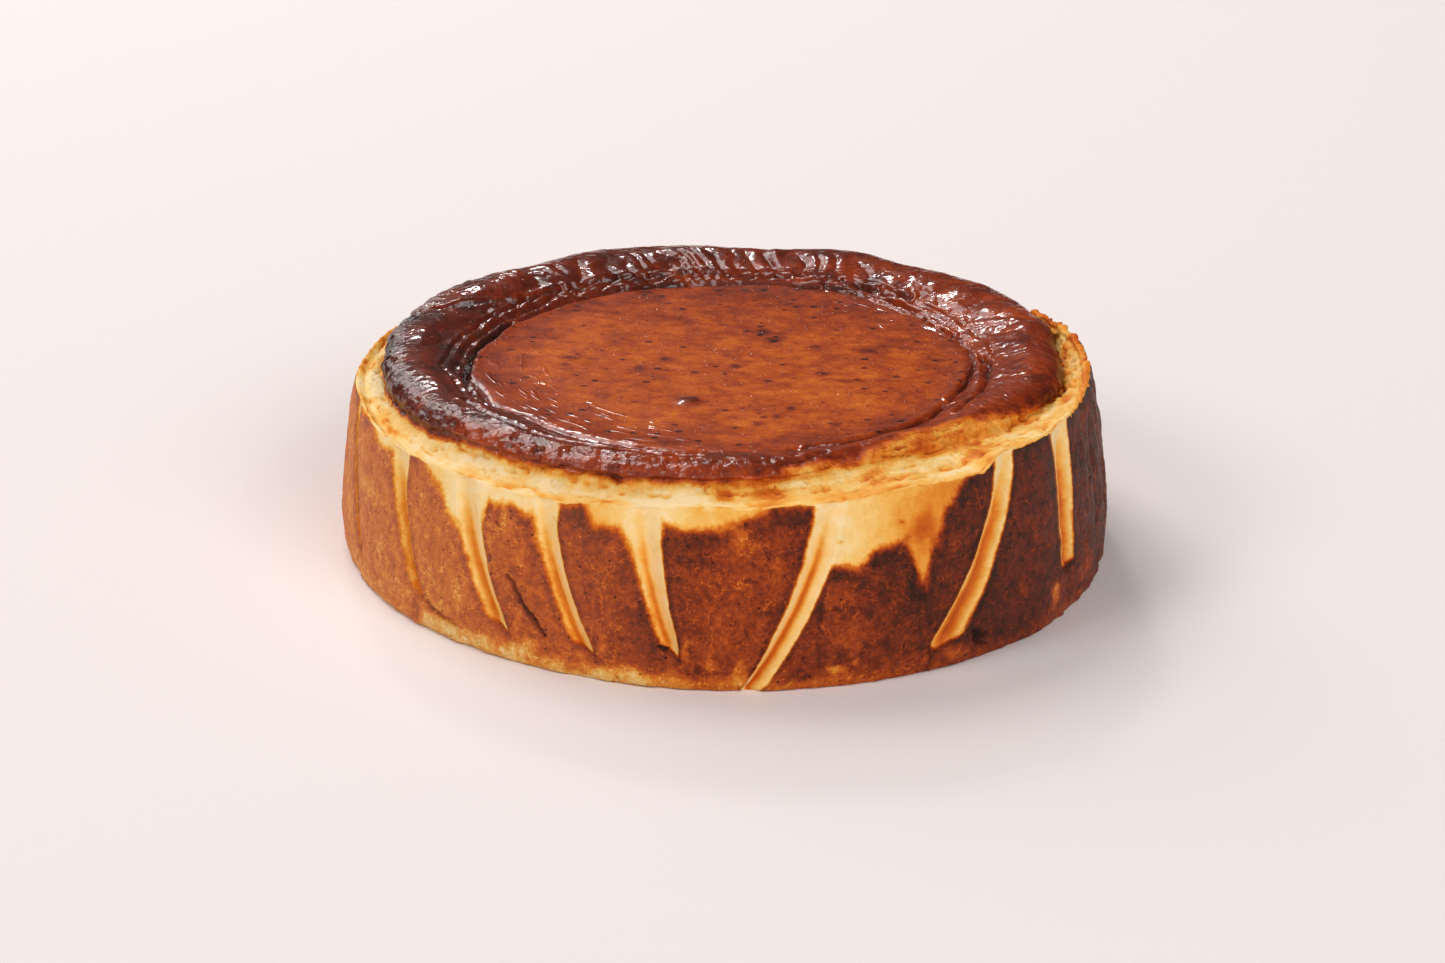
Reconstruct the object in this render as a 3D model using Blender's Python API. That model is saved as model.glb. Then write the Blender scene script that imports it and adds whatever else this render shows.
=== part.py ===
"""A basque cheesecake, baked in a round tin lined with creased paper: one uncut solid.

Its side leans in towards a thin lip and carries the slanting folds that the paper pressed into
it. Inside the lip a pale ledge leads up to a puffed, burnt ring round a sunken middle.
Metres, +Z up. The origin is at the centre of the flat underside. Angles go round from the
front (-Y) towards +X.
"""

import math

import bmesh
import bpy
from mathutils import Vector

MM = 0.001

# Outline of the side, in millimetres. Waves are given as count round, height, angle of a crest.
FOOT_RADIUS = 101.2
LOBES = ((1, 1.2, 17.5), (2, 1.2, 8.3), (3, 0.2, 48.0))
FOOT_CURVE = 1.4
LEAN = 5.35
LEAN_WAVES = ((1, 0.8, 53.0), (3, 1.1, -13.0))
LEAN_POWER = 1.7
PANEL_BULGE = 0.7

# Height of the lip by angle: low at the left, high at the right.
LIP_HEIGHTS = (
    (-155.0, 43.0),
    (-140.0, 45.2),
    (-126.0, 43.2),
    (-80.0, 43.8),
    (-56.0, 41.6),
    (-28.0, 42.2),
    (0.0, 44.6),
    (14.0, 45.4),
    (28.0, 47.1),
    (39.0, 46.8),
    (46.0, 49.6),
    (84.0, 50.6),
    (108.0, 49.2),
    (126.0, 44.4),
    (180.0, 43.2),
)
LIP_WIDTH = 1.5

# Burnt ring and sunken middle.
RING_FOOT_RADII = (
    (-160.0, 90.5),
    (-138.0, 87.5),
    (-115.0, 90.6),
    (-86.0, 89.2),
    (-60.0, 88.8),
    (-41.0, 86.8),
    (0.0, 86.4),
    (30.0, 83.0),
    (50.0, 83.0),
    (74.0, 87.8),
    (92.0, 89.2),
    (118.0, 92.0),
    (142.0, 89.8),
    (156.0, 91.0),
    (176.0, 87.4),
)
RING_FOOT_HEIGHTS = (
    (-130.0, 43.4),
    (-82.0, 43.6),
    (-62.0, 44.0),
    (-46.0, 45.4),
    (-28.0, 46.4),
    (38.0, 47.2),
    (62.0, 46.2),
    (90.0, 45.0),
    (125.0, 44.2),
    (180.0, 43.8),
)
RING_CREST_RADII = (
    (-120.0, 80.0),
    (-10.0, 80.0),
    (18.0, 77.0),
    (38.0, 75.0),
    (56.0, 76.0),
    (76.0, 79.5),
    (110.0, 82.5),
    (150.0, 82.0),
    (185.0, 80.5),
)
# How gently the ring rises from its foot: 0 is a steep wall.
GENTLE = ((-20.0, 0.0), (5.0, 0.2), (20.0, 0.8), (45.0, 1.0), (62.0, 0.7), (75.0, 0.1), (180.0, 0.0))
RING_CREST_HEIGHT = 51.2
RING_WAVES = ((5, 0.25, 10.0), (9, 0.2, 33.0), (14, 0.15, 5.0))
HOLLOW_RADII = (
    (-165.0, 61.2),
    (-125.0, 61.6),
    (-105.0, 62.6),
    (-92.0, 65.4),
    (-76.0, 67.4),
    (-55.0, 67.0),
    (0.0, 66.0),
    (25.0, 64.6),
    (45.0, 64.2),
    (65.0, 62.6),
    (80.0, 63.0),
    (95.0, 64.6),
    (120.0, 63.6),
    (150.0, 64.6),
    (165.0, 63.6),
    (180.0, 61.8),
)
HOLLOW_HEIGHT = 46.0
MIDDLE_HEIGHT = 46.3

# Folds down the side: angle at the lip, angle at the foot, half width and depth in millimetres.
FRONT_FOLDS = (
    (-74.0, -63.5, 1.8, 1.5),
    (-55.6, -44.2, 2.8, 2.0),
    (-39.8, -28.0, 3.0, 2.1),
    (-26.0, -15.3, 2.4, 2.0),
    (-11.0, -4.0, 2.8, 2.1),
    (14.8, 2.8, 3.2, 2.0),
    (43.6, 27.0, 3.0, 2.2),
    (58.4, 58.6, 3.2, 2.2),
    (71.0, 71.5, 1.6, 1.2),
)
BACK_FOLDS = 11
BACK_FOLD_HALF_WIDTH = 2.5
BACK_FOLD_DEPTH = 1.8
FOLD_SWEEP = 1.5
FOLD_END = 0.12  # share of the height, above the foot, where a fold has faded out
FOLD_AT_LIP = 0.3  # what is left of a fold's depth at the lip

# Mesh: columns across each fold and each panel between two folds, and rows up the side.
FOLD_COLUMNS = (-1.0, -0.45, 0.0, 0.45, 1.0)
PANEL_COLUMNS = 3
SIDE_ROWS = 8
MIDDLE_RADII = (56.0, 42.0, 27.0, 12.0)

CRUST_COLOUR = (0.25, 0.07, 0.02, 1.0)
CRUST_ROUGHNESS = 0.45


def ease(share):
    """Runs smoothly from 0 to 1."""
    share = min(max(share, 0.0), 1.0)
    return share * share * (3.0 - 2.0 * share)


def around(angle, points):
    """A value that eases from each (angle, value) point to the next, all the way round."""
    last_angle, last_value = points[-1]
    before = (last_angle - 360.0, last_value)
    angle = (angle - before[0]) % 360.0 + before[0]
    for after in points:
        if angle <= after[0]:
            share = ease((angle - before[0]) / (after[0] - before[0]))
            return before[1] + (after[1] - before[1]) * share
        before = after
    return last_value


def waves(angle, terms):
    """A sum of waves round the cake, each with its count, height and the angle of a crest."""
    return sum(size * math.cos(math.radians(count * (angle - crest))) for count, size, crest in terms)


def all_folds():
    """The folds seen from the front, then those round the back at uneven steps."""
    folds = list(FRONT_FOLDS)
    step = (FRONT_FOLDS[0][0] + 360.0 - FRONT_FOLDS[-1][0]) / (BACK_FOLDS + 1)
    for number in range(BACK_FOLDS):
        lip_angle = FRONT_FOLDS[-1][0] + step * (number + 1) + 3.0 * math.sin(2.4 * number)
        foot_angle = lip_angle + 7.0 * math.sin(1.7 * number + 0.6)
        folds.append((lip_angle, foot_angle, BACK_FOLD_HALF_WIDTH, BACK_FOLD_DEPTH))
    return folds


def columns():
    """Each column's angle at the lip and at the foot, how deep its fold is and how far it bulges."""
    made = []
    folds = all_folds()
    for number, (lip_angle, foot_angle, half_width, depth) in enumerate(folds):
        spread = math.degrees(half_width / FOOT_RADIUS)
        for place in FOLD_COLUMNS:
            dip = depth * (1.0 - ease(abs(place)))
            made.append((lip_angle + place * spread, foot_angle + place * spread, dip, 0.0))
        nearby = folds[(number + 1) % len(folds)]
        turn = 360.0 if number + 1 == len(folds) else 0.0
        far_spread = math.degrees(nearby[2] / FOOT_RADIUS)
        starts = (lip_angle + spread, foot_angle + spread)
        ends = (nearby[0] + turn - far_spread, nearby[1] + turn - far_spread)
        for step in range(1, PANEL_COLUMNS + 1):
            share = step / (PANEL_COLUMNS + 1)
            angles = [start + (end - start) * share for start, end in zip(starts, ends)]
            made.append((angles[0], angles[1], 0.0, math.sin(math.pi * share)))
    return made


def lean(angle):
    """How far the lip stands in from the foot."""
    return LEAN + waves(angle, LEAN_WAVES)


def side_radius(angle, share):
    """Radius of the bare side at a share of the lip's height."""
    return FOOT_RADIUS + waves(angle, LOBES) - lean(angle) * share**LEAN_POWER


def side_point(column, share):
    """A point of the side, on its fold or panel."""
    lip_angle, foot_angle, dip, bulge = column
    angle = lip_angle + (foot_angle - lip_angle) * (1.0 - share) ** FOLD_SWEEP
    shallow = 1.0 - (1.0 - FOLD_AT_LIP) * ease((share - 0.75) / 0.25)
    presence = ease((share - FOLD_END) / 0.25) * shallow
    swell = PANEL_BULGE * bulge * ease(share * 4.0) * shallow
    radius = side_radius(angle, share) - dip * presence + swell
    return place_point(angle, radius, share * around(lip_angle, LIP_HEIGHTS))


def place_point(angle, radius, height):
    turned = math.radians(angle)
    return Vector((radius * math.sin(turned), -radius * math.cos(turned), height)) * MM


def foot_rows(cake_columns):
    """The edge of the flat underside and the curve from it up to the side."""
    rows = []
    for quarter in (0.0, 0.35, 0.7):
        row = []
        for column in cake_columns:
            radius = side_radius(column[1], 0.0) - FOOT_CURVE * (1.0 - math.sin(quarter * math.pi / 2))
            height = FOOT_CURVE * (1.0 - math.cos(quarter * math.pi / 2))
            row.append(place_point(column[1], radius, height))
        rows.append(row)
    return rows


def mix(first, second, share):
    return first + (second - first) * share


def top_section(angle):
    """The (radius, height) points from the lip over the ledge and the burnt ring to the sunken middle."""
    inner_lip = side_radius(angle, 1.0) - LIP_WIDTH
    lip = around(angle, LIP_HEIGHTS)
    foot = around(angle, RING_FOOT_RADII)
    foot_height = around(angle, RING_FOOT_HEIGHTS)
    crest = RING_CREST_HEIGHT + waves(angle, RING_WAVES)
    crest_radius = around(angle, RING_CREST_RADII)
    gentle = around(angle, GENTLE)
    hollow = around(angle, HOLLOW_RADII)
    section = [
        (inner_lip, lip - 0.2),
        (mix(inner_lip, foot, 0.5), min(mix(lip, foot_height, 0.6), lip) - 0.3),
        (foot - 0.8, foot_height),
        (foot + mix(0.5, -2.6, gentle), mix(foot_height, crest, mix(0.35, 0.42, gentle))),
        (foot - mix(1.7, 6.0, gentle), mix(foot_height, crest, 0.84)),
        (crest_radius, crest),
        (mix(crest_radius, hollow, 0.38), crest - 1.2),
        (mix(crest_radius, hollow, 0.72), crest - 3.3),
        (hollow, HOLLOW_HEIGHT),
        (hollow - 2.0, HOLLOW_HEIGHT + 0.6),
    ]
    return section + [(radius, MIDDLE_HEIGHT) for radius in MIDDLE_RADII]


def top_rows(cake_columns):
    """Rows of points that follow the top's section at every column."""
    sections = [top_section(column[0]) for column in cake_columns]
    return [
        [place_point(column[0], *section[number]) for column, section in zip(cake_columns, sections)]
        for number in range(len(sections[0]))
    ]


def extrude_row(mesh, ring, points):
    """Extrudes the ring's edges once and moves the new vertices to the given points."""
    edges = [mesh.edges.get((ring[number - 1], vertex)) for number, vertex in enumerate(ring)]
    made = bmesh.ops.extrude_edge_only(mesh, edges=edges)["geom"]
    fresh = {item for item in made if isinstance(item, bmesh.types.BMVert)}
    moved = []
    for vertex, point in zip(ring, points):
        partner = next(e.other_vert(vertex) for e in vertex.link_edges if e.other_vert(vertex) in fresh)
        partner.co = point
        moved.append(partner)
    return moved


def cheesecake():
    cake_columns = columns()
    rows = foot_rows(cake_columns)
    for step in range(1, SIDE_ROWS + 1):
        share = 0.06 + 0.94 * step / SIDE_ROWS
        rows.append([side_point(column, share) for column in cake_columns])
    rows += top_rows(cake_columns)

    mesh = bmesh.new()
    ring = bmesh.ops.create_circle(mesh, segments=len(cake_columns), radius=FOOT_RADIUS * MM)["verts"]
    for vertex, point in zip(ring, rows[0]):
        vertex.co = point
    underside = mesh.faces.new(ring)
    for points in rows[1:]:
        ring = extrude_row(mesh, ring, points)
    middle = mesh.faces.new(ring)
    bmesh.ops.poke(mesh, faces=[underside, middle])
    bmesh.ops.recalc_face_normals(mesh, faces=mesh.faces)
    bmesh.ops.triangulate(mesh, faces=mesh.faces)

    corners = [vertex.co for vertex in mesh.verts]
    centre_x = (min(c.x for c in corners) + max(c.x for c in corners)) / 2.0
    centre_y = (min(c.y for c in corners) + max(c.y for c in corners)) / 2.0
    bmesh.ops.translate(mesh, verts=mesh.verts, vec=(-centre_x, -centre_y, 0.0))

    data = bpy.data.meshes.new("cheesecake")
    mesh.to_mesh(data)
    mesh.free()
    data.shade_smooth()
    data.set_sharp_from_angle(angle=math.radians(50.0))
    cake = bpy.data.objects.new("cheesecake", data)
    bpy.context.scene.collection.objects.link(cake)
    return cake


def crust():
    material = bpy.data.materials.new("crust")
    material.use_nodes = True
    shader = material.node_tree.nodes["Principled BSDF"]
    shader.inputs["Base Color"].default_value = CRUST_COLOUR
    shader.inputs["Roughness"].default_value = CRUST_ROUGHNESS
    shader.inputs["Metallic"].default_value = 0.0
    return material


def main():
    for leftover in list(bpy.data.objects):
        bpy.data.objects.remove(leftover)
    cheesecake().data.materials.append(crust())


main()
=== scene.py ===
"""The looks of a basque cheesecake: one baked body with its crust, and a plain stage.

Lengths here are in millimetres until a mesh is written. Angles are in degrees round the cake,
from its front (-Y) towards +X.
"""

import math
from collections import namedtuple
from types import SimpleNamespace

import bpy
import numpy as np
from mathutils import Matrix, Vector


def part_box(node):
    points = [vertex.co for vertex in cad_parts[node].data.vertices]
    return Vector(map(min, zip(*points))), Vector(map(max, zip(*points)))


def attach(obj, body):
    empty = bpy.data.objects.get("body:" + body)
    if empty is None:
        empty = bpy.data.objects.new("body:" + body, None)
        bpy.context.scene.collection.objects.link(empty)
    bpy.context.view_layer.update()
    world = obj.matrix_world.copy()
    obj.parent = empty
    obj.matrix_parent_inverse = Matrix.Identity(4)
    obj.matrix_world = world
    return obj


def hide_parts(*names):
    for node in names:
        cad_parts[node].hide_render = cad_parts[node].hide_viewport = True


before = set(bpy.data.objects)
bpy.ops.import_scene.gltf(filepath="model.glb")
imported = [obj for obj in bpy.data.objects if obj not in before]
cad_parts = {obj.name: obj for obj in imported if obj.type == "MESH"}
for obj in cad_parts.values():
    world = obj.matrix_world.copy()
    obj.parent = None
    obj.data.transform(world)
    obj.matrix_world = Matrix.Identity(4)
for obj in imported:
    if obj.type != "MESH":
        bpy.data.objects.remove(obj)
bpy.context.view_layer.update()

bl_info = {
    "name": "Basque cheesecake",
    "version": (1, 0, 0),
    "blender": (4, 5, 0),
    "location": "3D View > Sidebar > Cheesecake",
    "description": "Models a basque cheesecake with its browned crust, and a plain stage for it",
    "category": "Add Mesh",
}

MM = 0.001
CAD_NODE = "cheesecake"

# Parts of the surface, in order from the middle of the underside to the middle of the top.
# The numbers left out are the rows of points between these.
UNDERSIDE, FOOT, SIDE, LIP, INNER_LIP = range(5)
RING_FOOT, RING_WALL, SHOULDER = 6, 7, 8
HOLLOW = 12

# Mesh before it is thinned out.
COLUMNS = 1080
UNDERSIDE_ROWS = 8
FOOT_ROWS = 8
SIDE_ROWS = 84
TOP_ROWS = (4, 7, 8, 6, 8, 9, 11, 10, 9, 4, 15, 24, 13, 10, 7)
MOST_TRIANGLES = 197_000
FIT_MARGIN = 0.05
# The map's gap between its parts, the radius that gives its strips their length, and the base's scale.
MAP_GAP = 2.0
MAP_SIDE_RADIUS = 101.0
MAP_BASE_SHARE = 0.35

# Outline of the side.
LOBES = ((1, 1.2, 17.5), (2, 1.2, 8.3), (3, 0.2, 48))
FOOT_CURVE = 1.4
# Share of a quarter turn that the foot's curve takes, and share of the height where the side starts.
FOOT_TURN = 0.7
SIDE_START = 0.045
LEAN = 5.35
LEAN_WAVES = ((1, 0.8, 53), (3, 1.1, -13))
LEAN_POWER = 1.7
PANEL_BULGE = 0.7
LIP_HEIGHTS = (
    (-155, 43), (-140, 45.2), (-126, 43.2), (-100, 43.2), (-80, 43.8), (-56, 41.6), (-28, 42.2),
    (0, 44.6), (14, 45.4), (28, 47.1), (39, 46.8), (44, 50.4), (48, 49.4), (66, 50), (84, 50.6),
    (96, 50.4), (108, 49.2), (126, 44.4), (150, 43.4), (180, 43.2),
)
LIP_WIDTH = 1.5

# Uneven edges of the lip, the burnt skin and the hollow, each the sum of two noises:
# height, size of a cell, seed and octaves.
LIP_RAGGED = ((0.7, 6.0, 3, 4), (0.3, 1.7, 5, 2))
SKIN_RAGGED = ((1.0, 7.0, 21, 2), (0.8, 2.6, 23, 2))
HOLLOW_RAGGED = ((1.3, 11.0, 25, 2), (0.4, 3.0, 27, 2))

# Mean radii at which lengths round the cake are measured.
SIDE_REACH = 98.0
LIP_REACH = 95.0
LEDGE_REACH = 88.0
RING_REACH = 78.0
HOLLOW_REACH = 64.0
# A distance that stands for nowhere near.
FAR = 99.0

# Burnt ring and sunken middle.
RING_FOOT_RADII = (
    (-160, 90.5), (-138, 87.5), (-124, 90), (-110, 90.6), (-86, 89.2), (-60, 88.8), (-41, 86.8),
    (-20, 87.2), (0, 86.4), (15, 84.6), (30, 83), (50, 83), (62, 85), (74, 86.6), (92, 87.4),
    (110, 90), (127, 92.2), (142, 89.8), (156, 91), (176, 87.4),
)
RING_FOOT_HEIGHTS = (
    (-130, 43.4), (-100, 43.8), (-82, 43.6), (-62, 44), (-46, 45.4), (-28, 46.4), (0, 46.8),
    (30, 47.2), (46, 47.2), (62, 46.2), (90, 45), (125, 44.2), (180, 43.8),
)
RING_CREST_RADII = (
    (-120, 80), (-10, 80), (18, 77), (38, 75), (56, 76), (76, 79.5), (110, 82.5), (150, 82),
    (185, 80.5),
)
# How gently the ring rises from its foot: 0 is a steep wall.
GENTLE = (
    (-150, 0), (-125, 0.2), (-100, 0.35), (-60, 0.25), (-20, 0), (5, 0.2), (20, 0.8), (45, 1),
    (62, 0.7), (75, 0.15), (180, 0),
)
RING_WAVES = ((5, 0.25, 10), (9, 0.2, 33), (14, 0.15, 5))
HOLLOW_RADII = (
    (-165, 61.2), (-125, 61.6), (-105, 62.6), (-92, 65.4), (-76, 67.4), (-55, 67), (0, 66),
    (25, 64.6), (45, 64.2), (65, 62.6), (80, 63), (95, 64.6), (120, 63.6), (150, 64.6), (165, 63.6),
    (180, 61.8),
)
MIDDLE_RADII = (56.0, 42.0, 27.0, 12.0, 0.0)

# How far in from the ring's foot the burnt skin stops, and how softly it ends.
BURNT_INSET = (
    (-20, 0), (-4, 0.4), (8, 2.2), (15, 4.6), (20, 2.4), (28, 6.4), (37, 9), (46, 8.4), (55, 6),
    (63, 3.4), (72, 0.6), (90, 0),
)
BURNT_SOFTNESS = (
    (-70, 1), (-45, 1.5), (-20, 1.6), (12, 2.2), (28, 3), (48, 3.2), (62, 2.2), (76, 1.2), (180, 1),
)

# Folds: angle at the lip and at the foot, width at the lip and at the foot, depth, height of the end,
# where the valley runs across it (-1 left edge, 1 right edge), and how browned the valley is,
# with painted shade in the valley and on the bank turned from the light.
Fold = namedtuple("Fold", "lip_angle foot_angle lip_width foot_width depth end valley browning")
FRONT_FOLDS = (
    (-74, -63.5, 2.8, 1.6, 1.5, 6, -0.3, 0.34),
    (-55.6, -44.2, 8, 3.4, 2.2, 7, -0.45, 0.34),
    (-39.8, -28, 9, 5.2, 2.3, 8, -0.42, 0.3),
    (-26, -15.3, 6.4, 5, 2.1, 7, -0.45, 0.3),
    (-11, -4, 8.4, 5.8, 2.4, 9, -0.38, 0.28),
    (14.8, 3.4, 7.4, 8.6, 2.2, -4, 0.1, 0.36),
    (43.6, 27, 6.2, 6.6, 2.4, 6, 0.34, 0.42),
    (58.4, 58.6, 9.6, 3.4, 2.4, 12, 0.36, 0.42),
    (71, 71.5, 2, 1.4, 1.2, 16, 0, 0.5),
)
# A fold browned and shaded this deep is only a groove between panels.
PANEL_DEEP = 0.5
BACK_FOLDS = 11
BACK_FOLD_DEPTH = 2.1
BACK_FOLD_END = 7.0
BACK_FOLD_BROWNING_AND_SHADE = 0.2
FOLD_SWEEP = 1.5
FOLD_AT_LIP = 0.3

# Height of the line where the browned panels stop and the pale band under the lip starts.
PALE_LINE = (
    (-79, 46.5), (-75, 46), (-72, 42.5), (-65.5, 43), (-63, 38.7), (-58.5, 39.6), (-55, 37),
    (-54, 42.5), (-50, 42.4), (-46, 37.5), (-40, 29.5), (-37, 31), (-35, 37), (-31.5, 38.8),
    (-28.5, 37.6), (-26, 31), (-24.6, 34.5), (-23.4, 42), (-20.5, 42.2), (-18.3, 37.8), (-15, 38.2),
    (-11, 29), (-9.3, 33), (-7.8, 39.5), (-1, 39.6), (4, 42), (8, 45), (12.4, 45), (13.8, 30),
    (18, 29.3), (21.5, 34), (25, 34.8), (28.2, 23), (30.2, 33), (33, 41), (36, 46), (40.5, 50),
    (43, 44), (46, 52), (54, 52), (57.5, 40), (62, 52), (90, 52), (110, 47), (128, 38), (140, 40),
    (150, 43), (163, 37), (176, 35), (186, 41), (200, 36), (214, 38), (230, 43), (250, 38),
    (268, 43),
)

# How browned each part is by angle: 0 is cream and 1 is char. The last one lightens the foot.
PALE_BROWNING = (
    (-78, 0.16), (-62, 0.05), (-47, 0.09), (-39, 0.02), (-30, 0.05), (-24, 0.1), (-18, 0.16),
    (-12, 0.04), (-9, 0.05), (-4, 0.17), (4, 0.21), (8, 0.28), (12.5, 0.26), (15, 0.05), (20, 0.11),
    (26, 0.23), (31, 0.25), (38, 0.28), (43, 0.06), (48, 0.28), (57, 0.1), (62, 0.22), (68, 0.38),
    (71, 0.16), (90, 0.3), (150, 0.16), (220, 0.12),
)
LEDGE_BROWNING = (
    (-140, 0.2), (-120, 0.08), (-106, 0.06), (-96, 0.05), (-84, 0.04), (-68, 0.05), (-58, 0.03),
    (-48, 0.04), (-41, 0.07), (-36, 0.09), (-30, 0.05), (-23, 0.05), (-17, 0.11), (-11, 0.05),
    (-5, 0.05), (2, 0.08), (9, 0.1), (14, 0.09), (22, 0.08), (30, 0.1), (36, 0.17), (42, 0.17),
    (48, 0.14), (60, 0.14), (75, 0.17), (95, 0.19), (115, 0.22), (180, 0.22),
)
# Besides their browning, the panels are painted lighter on the lit left and darker on the shaded right.
PANEL_BROWNING_AND_SHADING = (
    (-110, 0.52), (-75, 0.365), (-45, 0.4), (-25, 0.53), (0, 0.65), (22, 0.72), (48, 0.81),
    (75, 0.8), (120, 0.68), (180, 0.56),
)
RING_BROWNING = (
    (-150, 0.73), (-125, 0.85), (-100, 0.91), (-62, 0.79), (-40, 0.63), (-15, 0.66), (10, 0.68),
    (40, 0.7), (80, 0.76), (110, 0.76), (180, 0.71),
)
INNER_BROWNING = (
    (-160, 0.74), (-120, 0.77), (-80, 0.8), (-45, 0.75), (-10, 0.67), (30, 0.65), (90, 0.66),
    (150, 0.7),
)
FOOT_GOLD = (
    (-75, 0.04), (-52, 0.1), (-36, 0.24), (-26, 0.34), (-8, 0.4), (4, 0.28), (30, 0.12), (60, 0.14),
    (90, 0.06), (180, 0.1),
)
# How glossy the ring, the middle and the ledge are, and the side by angle.
RING_GLOSS = (
    (-150, 0.65), (-110, 0.9), (-30, 0.9), (0, 0.7), (40, 0.4), (95, 0.35), (125, 0.7), (165, 0.7),
)
SIDE_GLOSS = ((-180, 0.03), (-20, 0.02), (20, 0.04), (45, 0.12), (60, 0.3), (110, 0.3))
MIDDLE_GLOSS = 0.85
LEDGE_GLOSS = 0.10
# Pale bloom on the panels, mixed with a painted sheen of the light from the left.
PAINTED_SHEEN_BLOOM = ((-150, 0.4), (-80, 1), (-60, 0.85), (-45, 0.7), (-25, 0.35), (0, 0.1), (90, 0.15))

# Where each kind of wrinkle, lump or mark shows, by angle: 0 is nowhere and 1 is full.
PUCKERED = ((-60, 0), (43, 0), (50, 0.5), (62, 1), (100, 1), (130, 0.2))
CRUMBLY = ((40, 0.1), (66, 0.4), (80, 1), (115, 1), (140, 0.2))
RIDGED = ((-150, 0.3), (-120, 1), (-70, 1), (-50, 0.4), (30, 0.2), (150, 0.2))
BLISTERED = ((-75, 0), (-60, 0.8), (-10, 0.8), (15, 0.5), (35, 0))
# Where the cuts in the rim are darkened as painted shade.
SHADED_CUTS = ((-75, 0), (-60, 1), (15, 1), (35, 0))
CHARRED = ((-150, 0.3), (-120, 1), (-20, 1), (20, 0.6), (45, 0.1), (150, 0.2))
PLEATED = (
    (-175, 1), (-150, 0.7), (-125, 0.3), (-95, 0), (110, 0), (150, 0.1), (163, 0.5), (172, 1),
)
LUMPY = ((-175, 0.6), (-115, 1), (-85, 0.5), (-60, 0), (60, 0), (110, 0.5), (135, 1), (160, 0.8))
WRINKLED = ((-20, 0), (30, 0.3), (60, 1), (115, 1), (150, 0.2))
ROPED = (
    (-170, 0.9), (-110, 0.9), (-70, 0.7), (-30, 0.4), (10, 0.3), (60, 0.2), (105, 0.4), (140, 0.9),
)
LIVELY = (
    (-110, 0), (-90, 0.5), (-70, 1), (-25, 1), (0, 0.5), (25, 0.1), (110, 0.1), (130, 0.5),
    (150, 0.5), (165, 0),
)
# How much browner the ledge is along the lip, and along the ring.
TOASTED = ((-130, 0.14), (-105, 0.14), (-84, 0.12), (-66, 0.05), (56, 0), (78, 0.14), (115, 0.14))
NEAR_RING = ((-180, 0.12), (-110, 0.04), (-60, 0.06), (-42, 0.15), (20, 0.13), (60, 0.15))

# The crust's colours, from how brown it is or how deep its painted shade is.
SHADES = (
    (0.00, "cream"),
    (0.09, "pale_gold"),
    (0.18, "gold"),
    (0.27, "amber"),
    (0.36, "orange"),
    (0.46, "toffee"),
    (0.56, "caramel"),
    (0.66, "brown"),
    (0.77, "mahogany"),
    (0.89, "burnt"),
    (1.00, "char"),
)
# Finish of the crust: base reflection, roughness of the gloss, depth of the finest relief.
SPECULAR_LEVEL = 0.06
GLOSS_ROUGHNESS = 0.12
BUMP_DEPTH = 0.9
CHAR_ROUGHNESS = 0.42

# Heights and depths of the relief.
PIT_DEPTH = 0.6
PUCKER_HEIGHT = 0.8
FOOT_UNEVENNESS = 0.6
CRACK_DEPTH = 1.5
FINE_CRACK_DEPTH = 0.5
CRUMB_HEIGHT = 1.7
LIP_GROOVE_DEPTH = 0.7
PLEAT_HEIGHT = 1.3
LUMP_HEIGHT = 1.1
ROPE_HEIGHT = 1.4
ROPE_SPACING = 3.2
BLISTER_HEIGHT = 0.6
CREASE_DEPTH = 1.3
# Room kept under the crest's height for the wrinkles that stand up from it.
WRINKLE_ROOM = 1.0

# How browned the middle is, and how much browner its spots and the marks elsewhere are;
# the creases, the cuts and the cracks are darkened as painted shade.
MIDDLE_BROWNING = 0.50
MIDDLE_EDGE_BROWNING = 0.09
MIDDLE_BACK_BROWNING = 0.06
SPOT_BROWNING = 0.26
BLISTER_BROWNING = 0.22
CREASE_SHADE = 0.10
CUT_SHADE = 0.05
PALE_CRACK_SHADE = 0.30
PANEL_CRACK_SHADE = 0.28
MOST_PALE_CHANGE = 0.2
MOST_PANEL_BROWNING = 0.85

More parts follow.
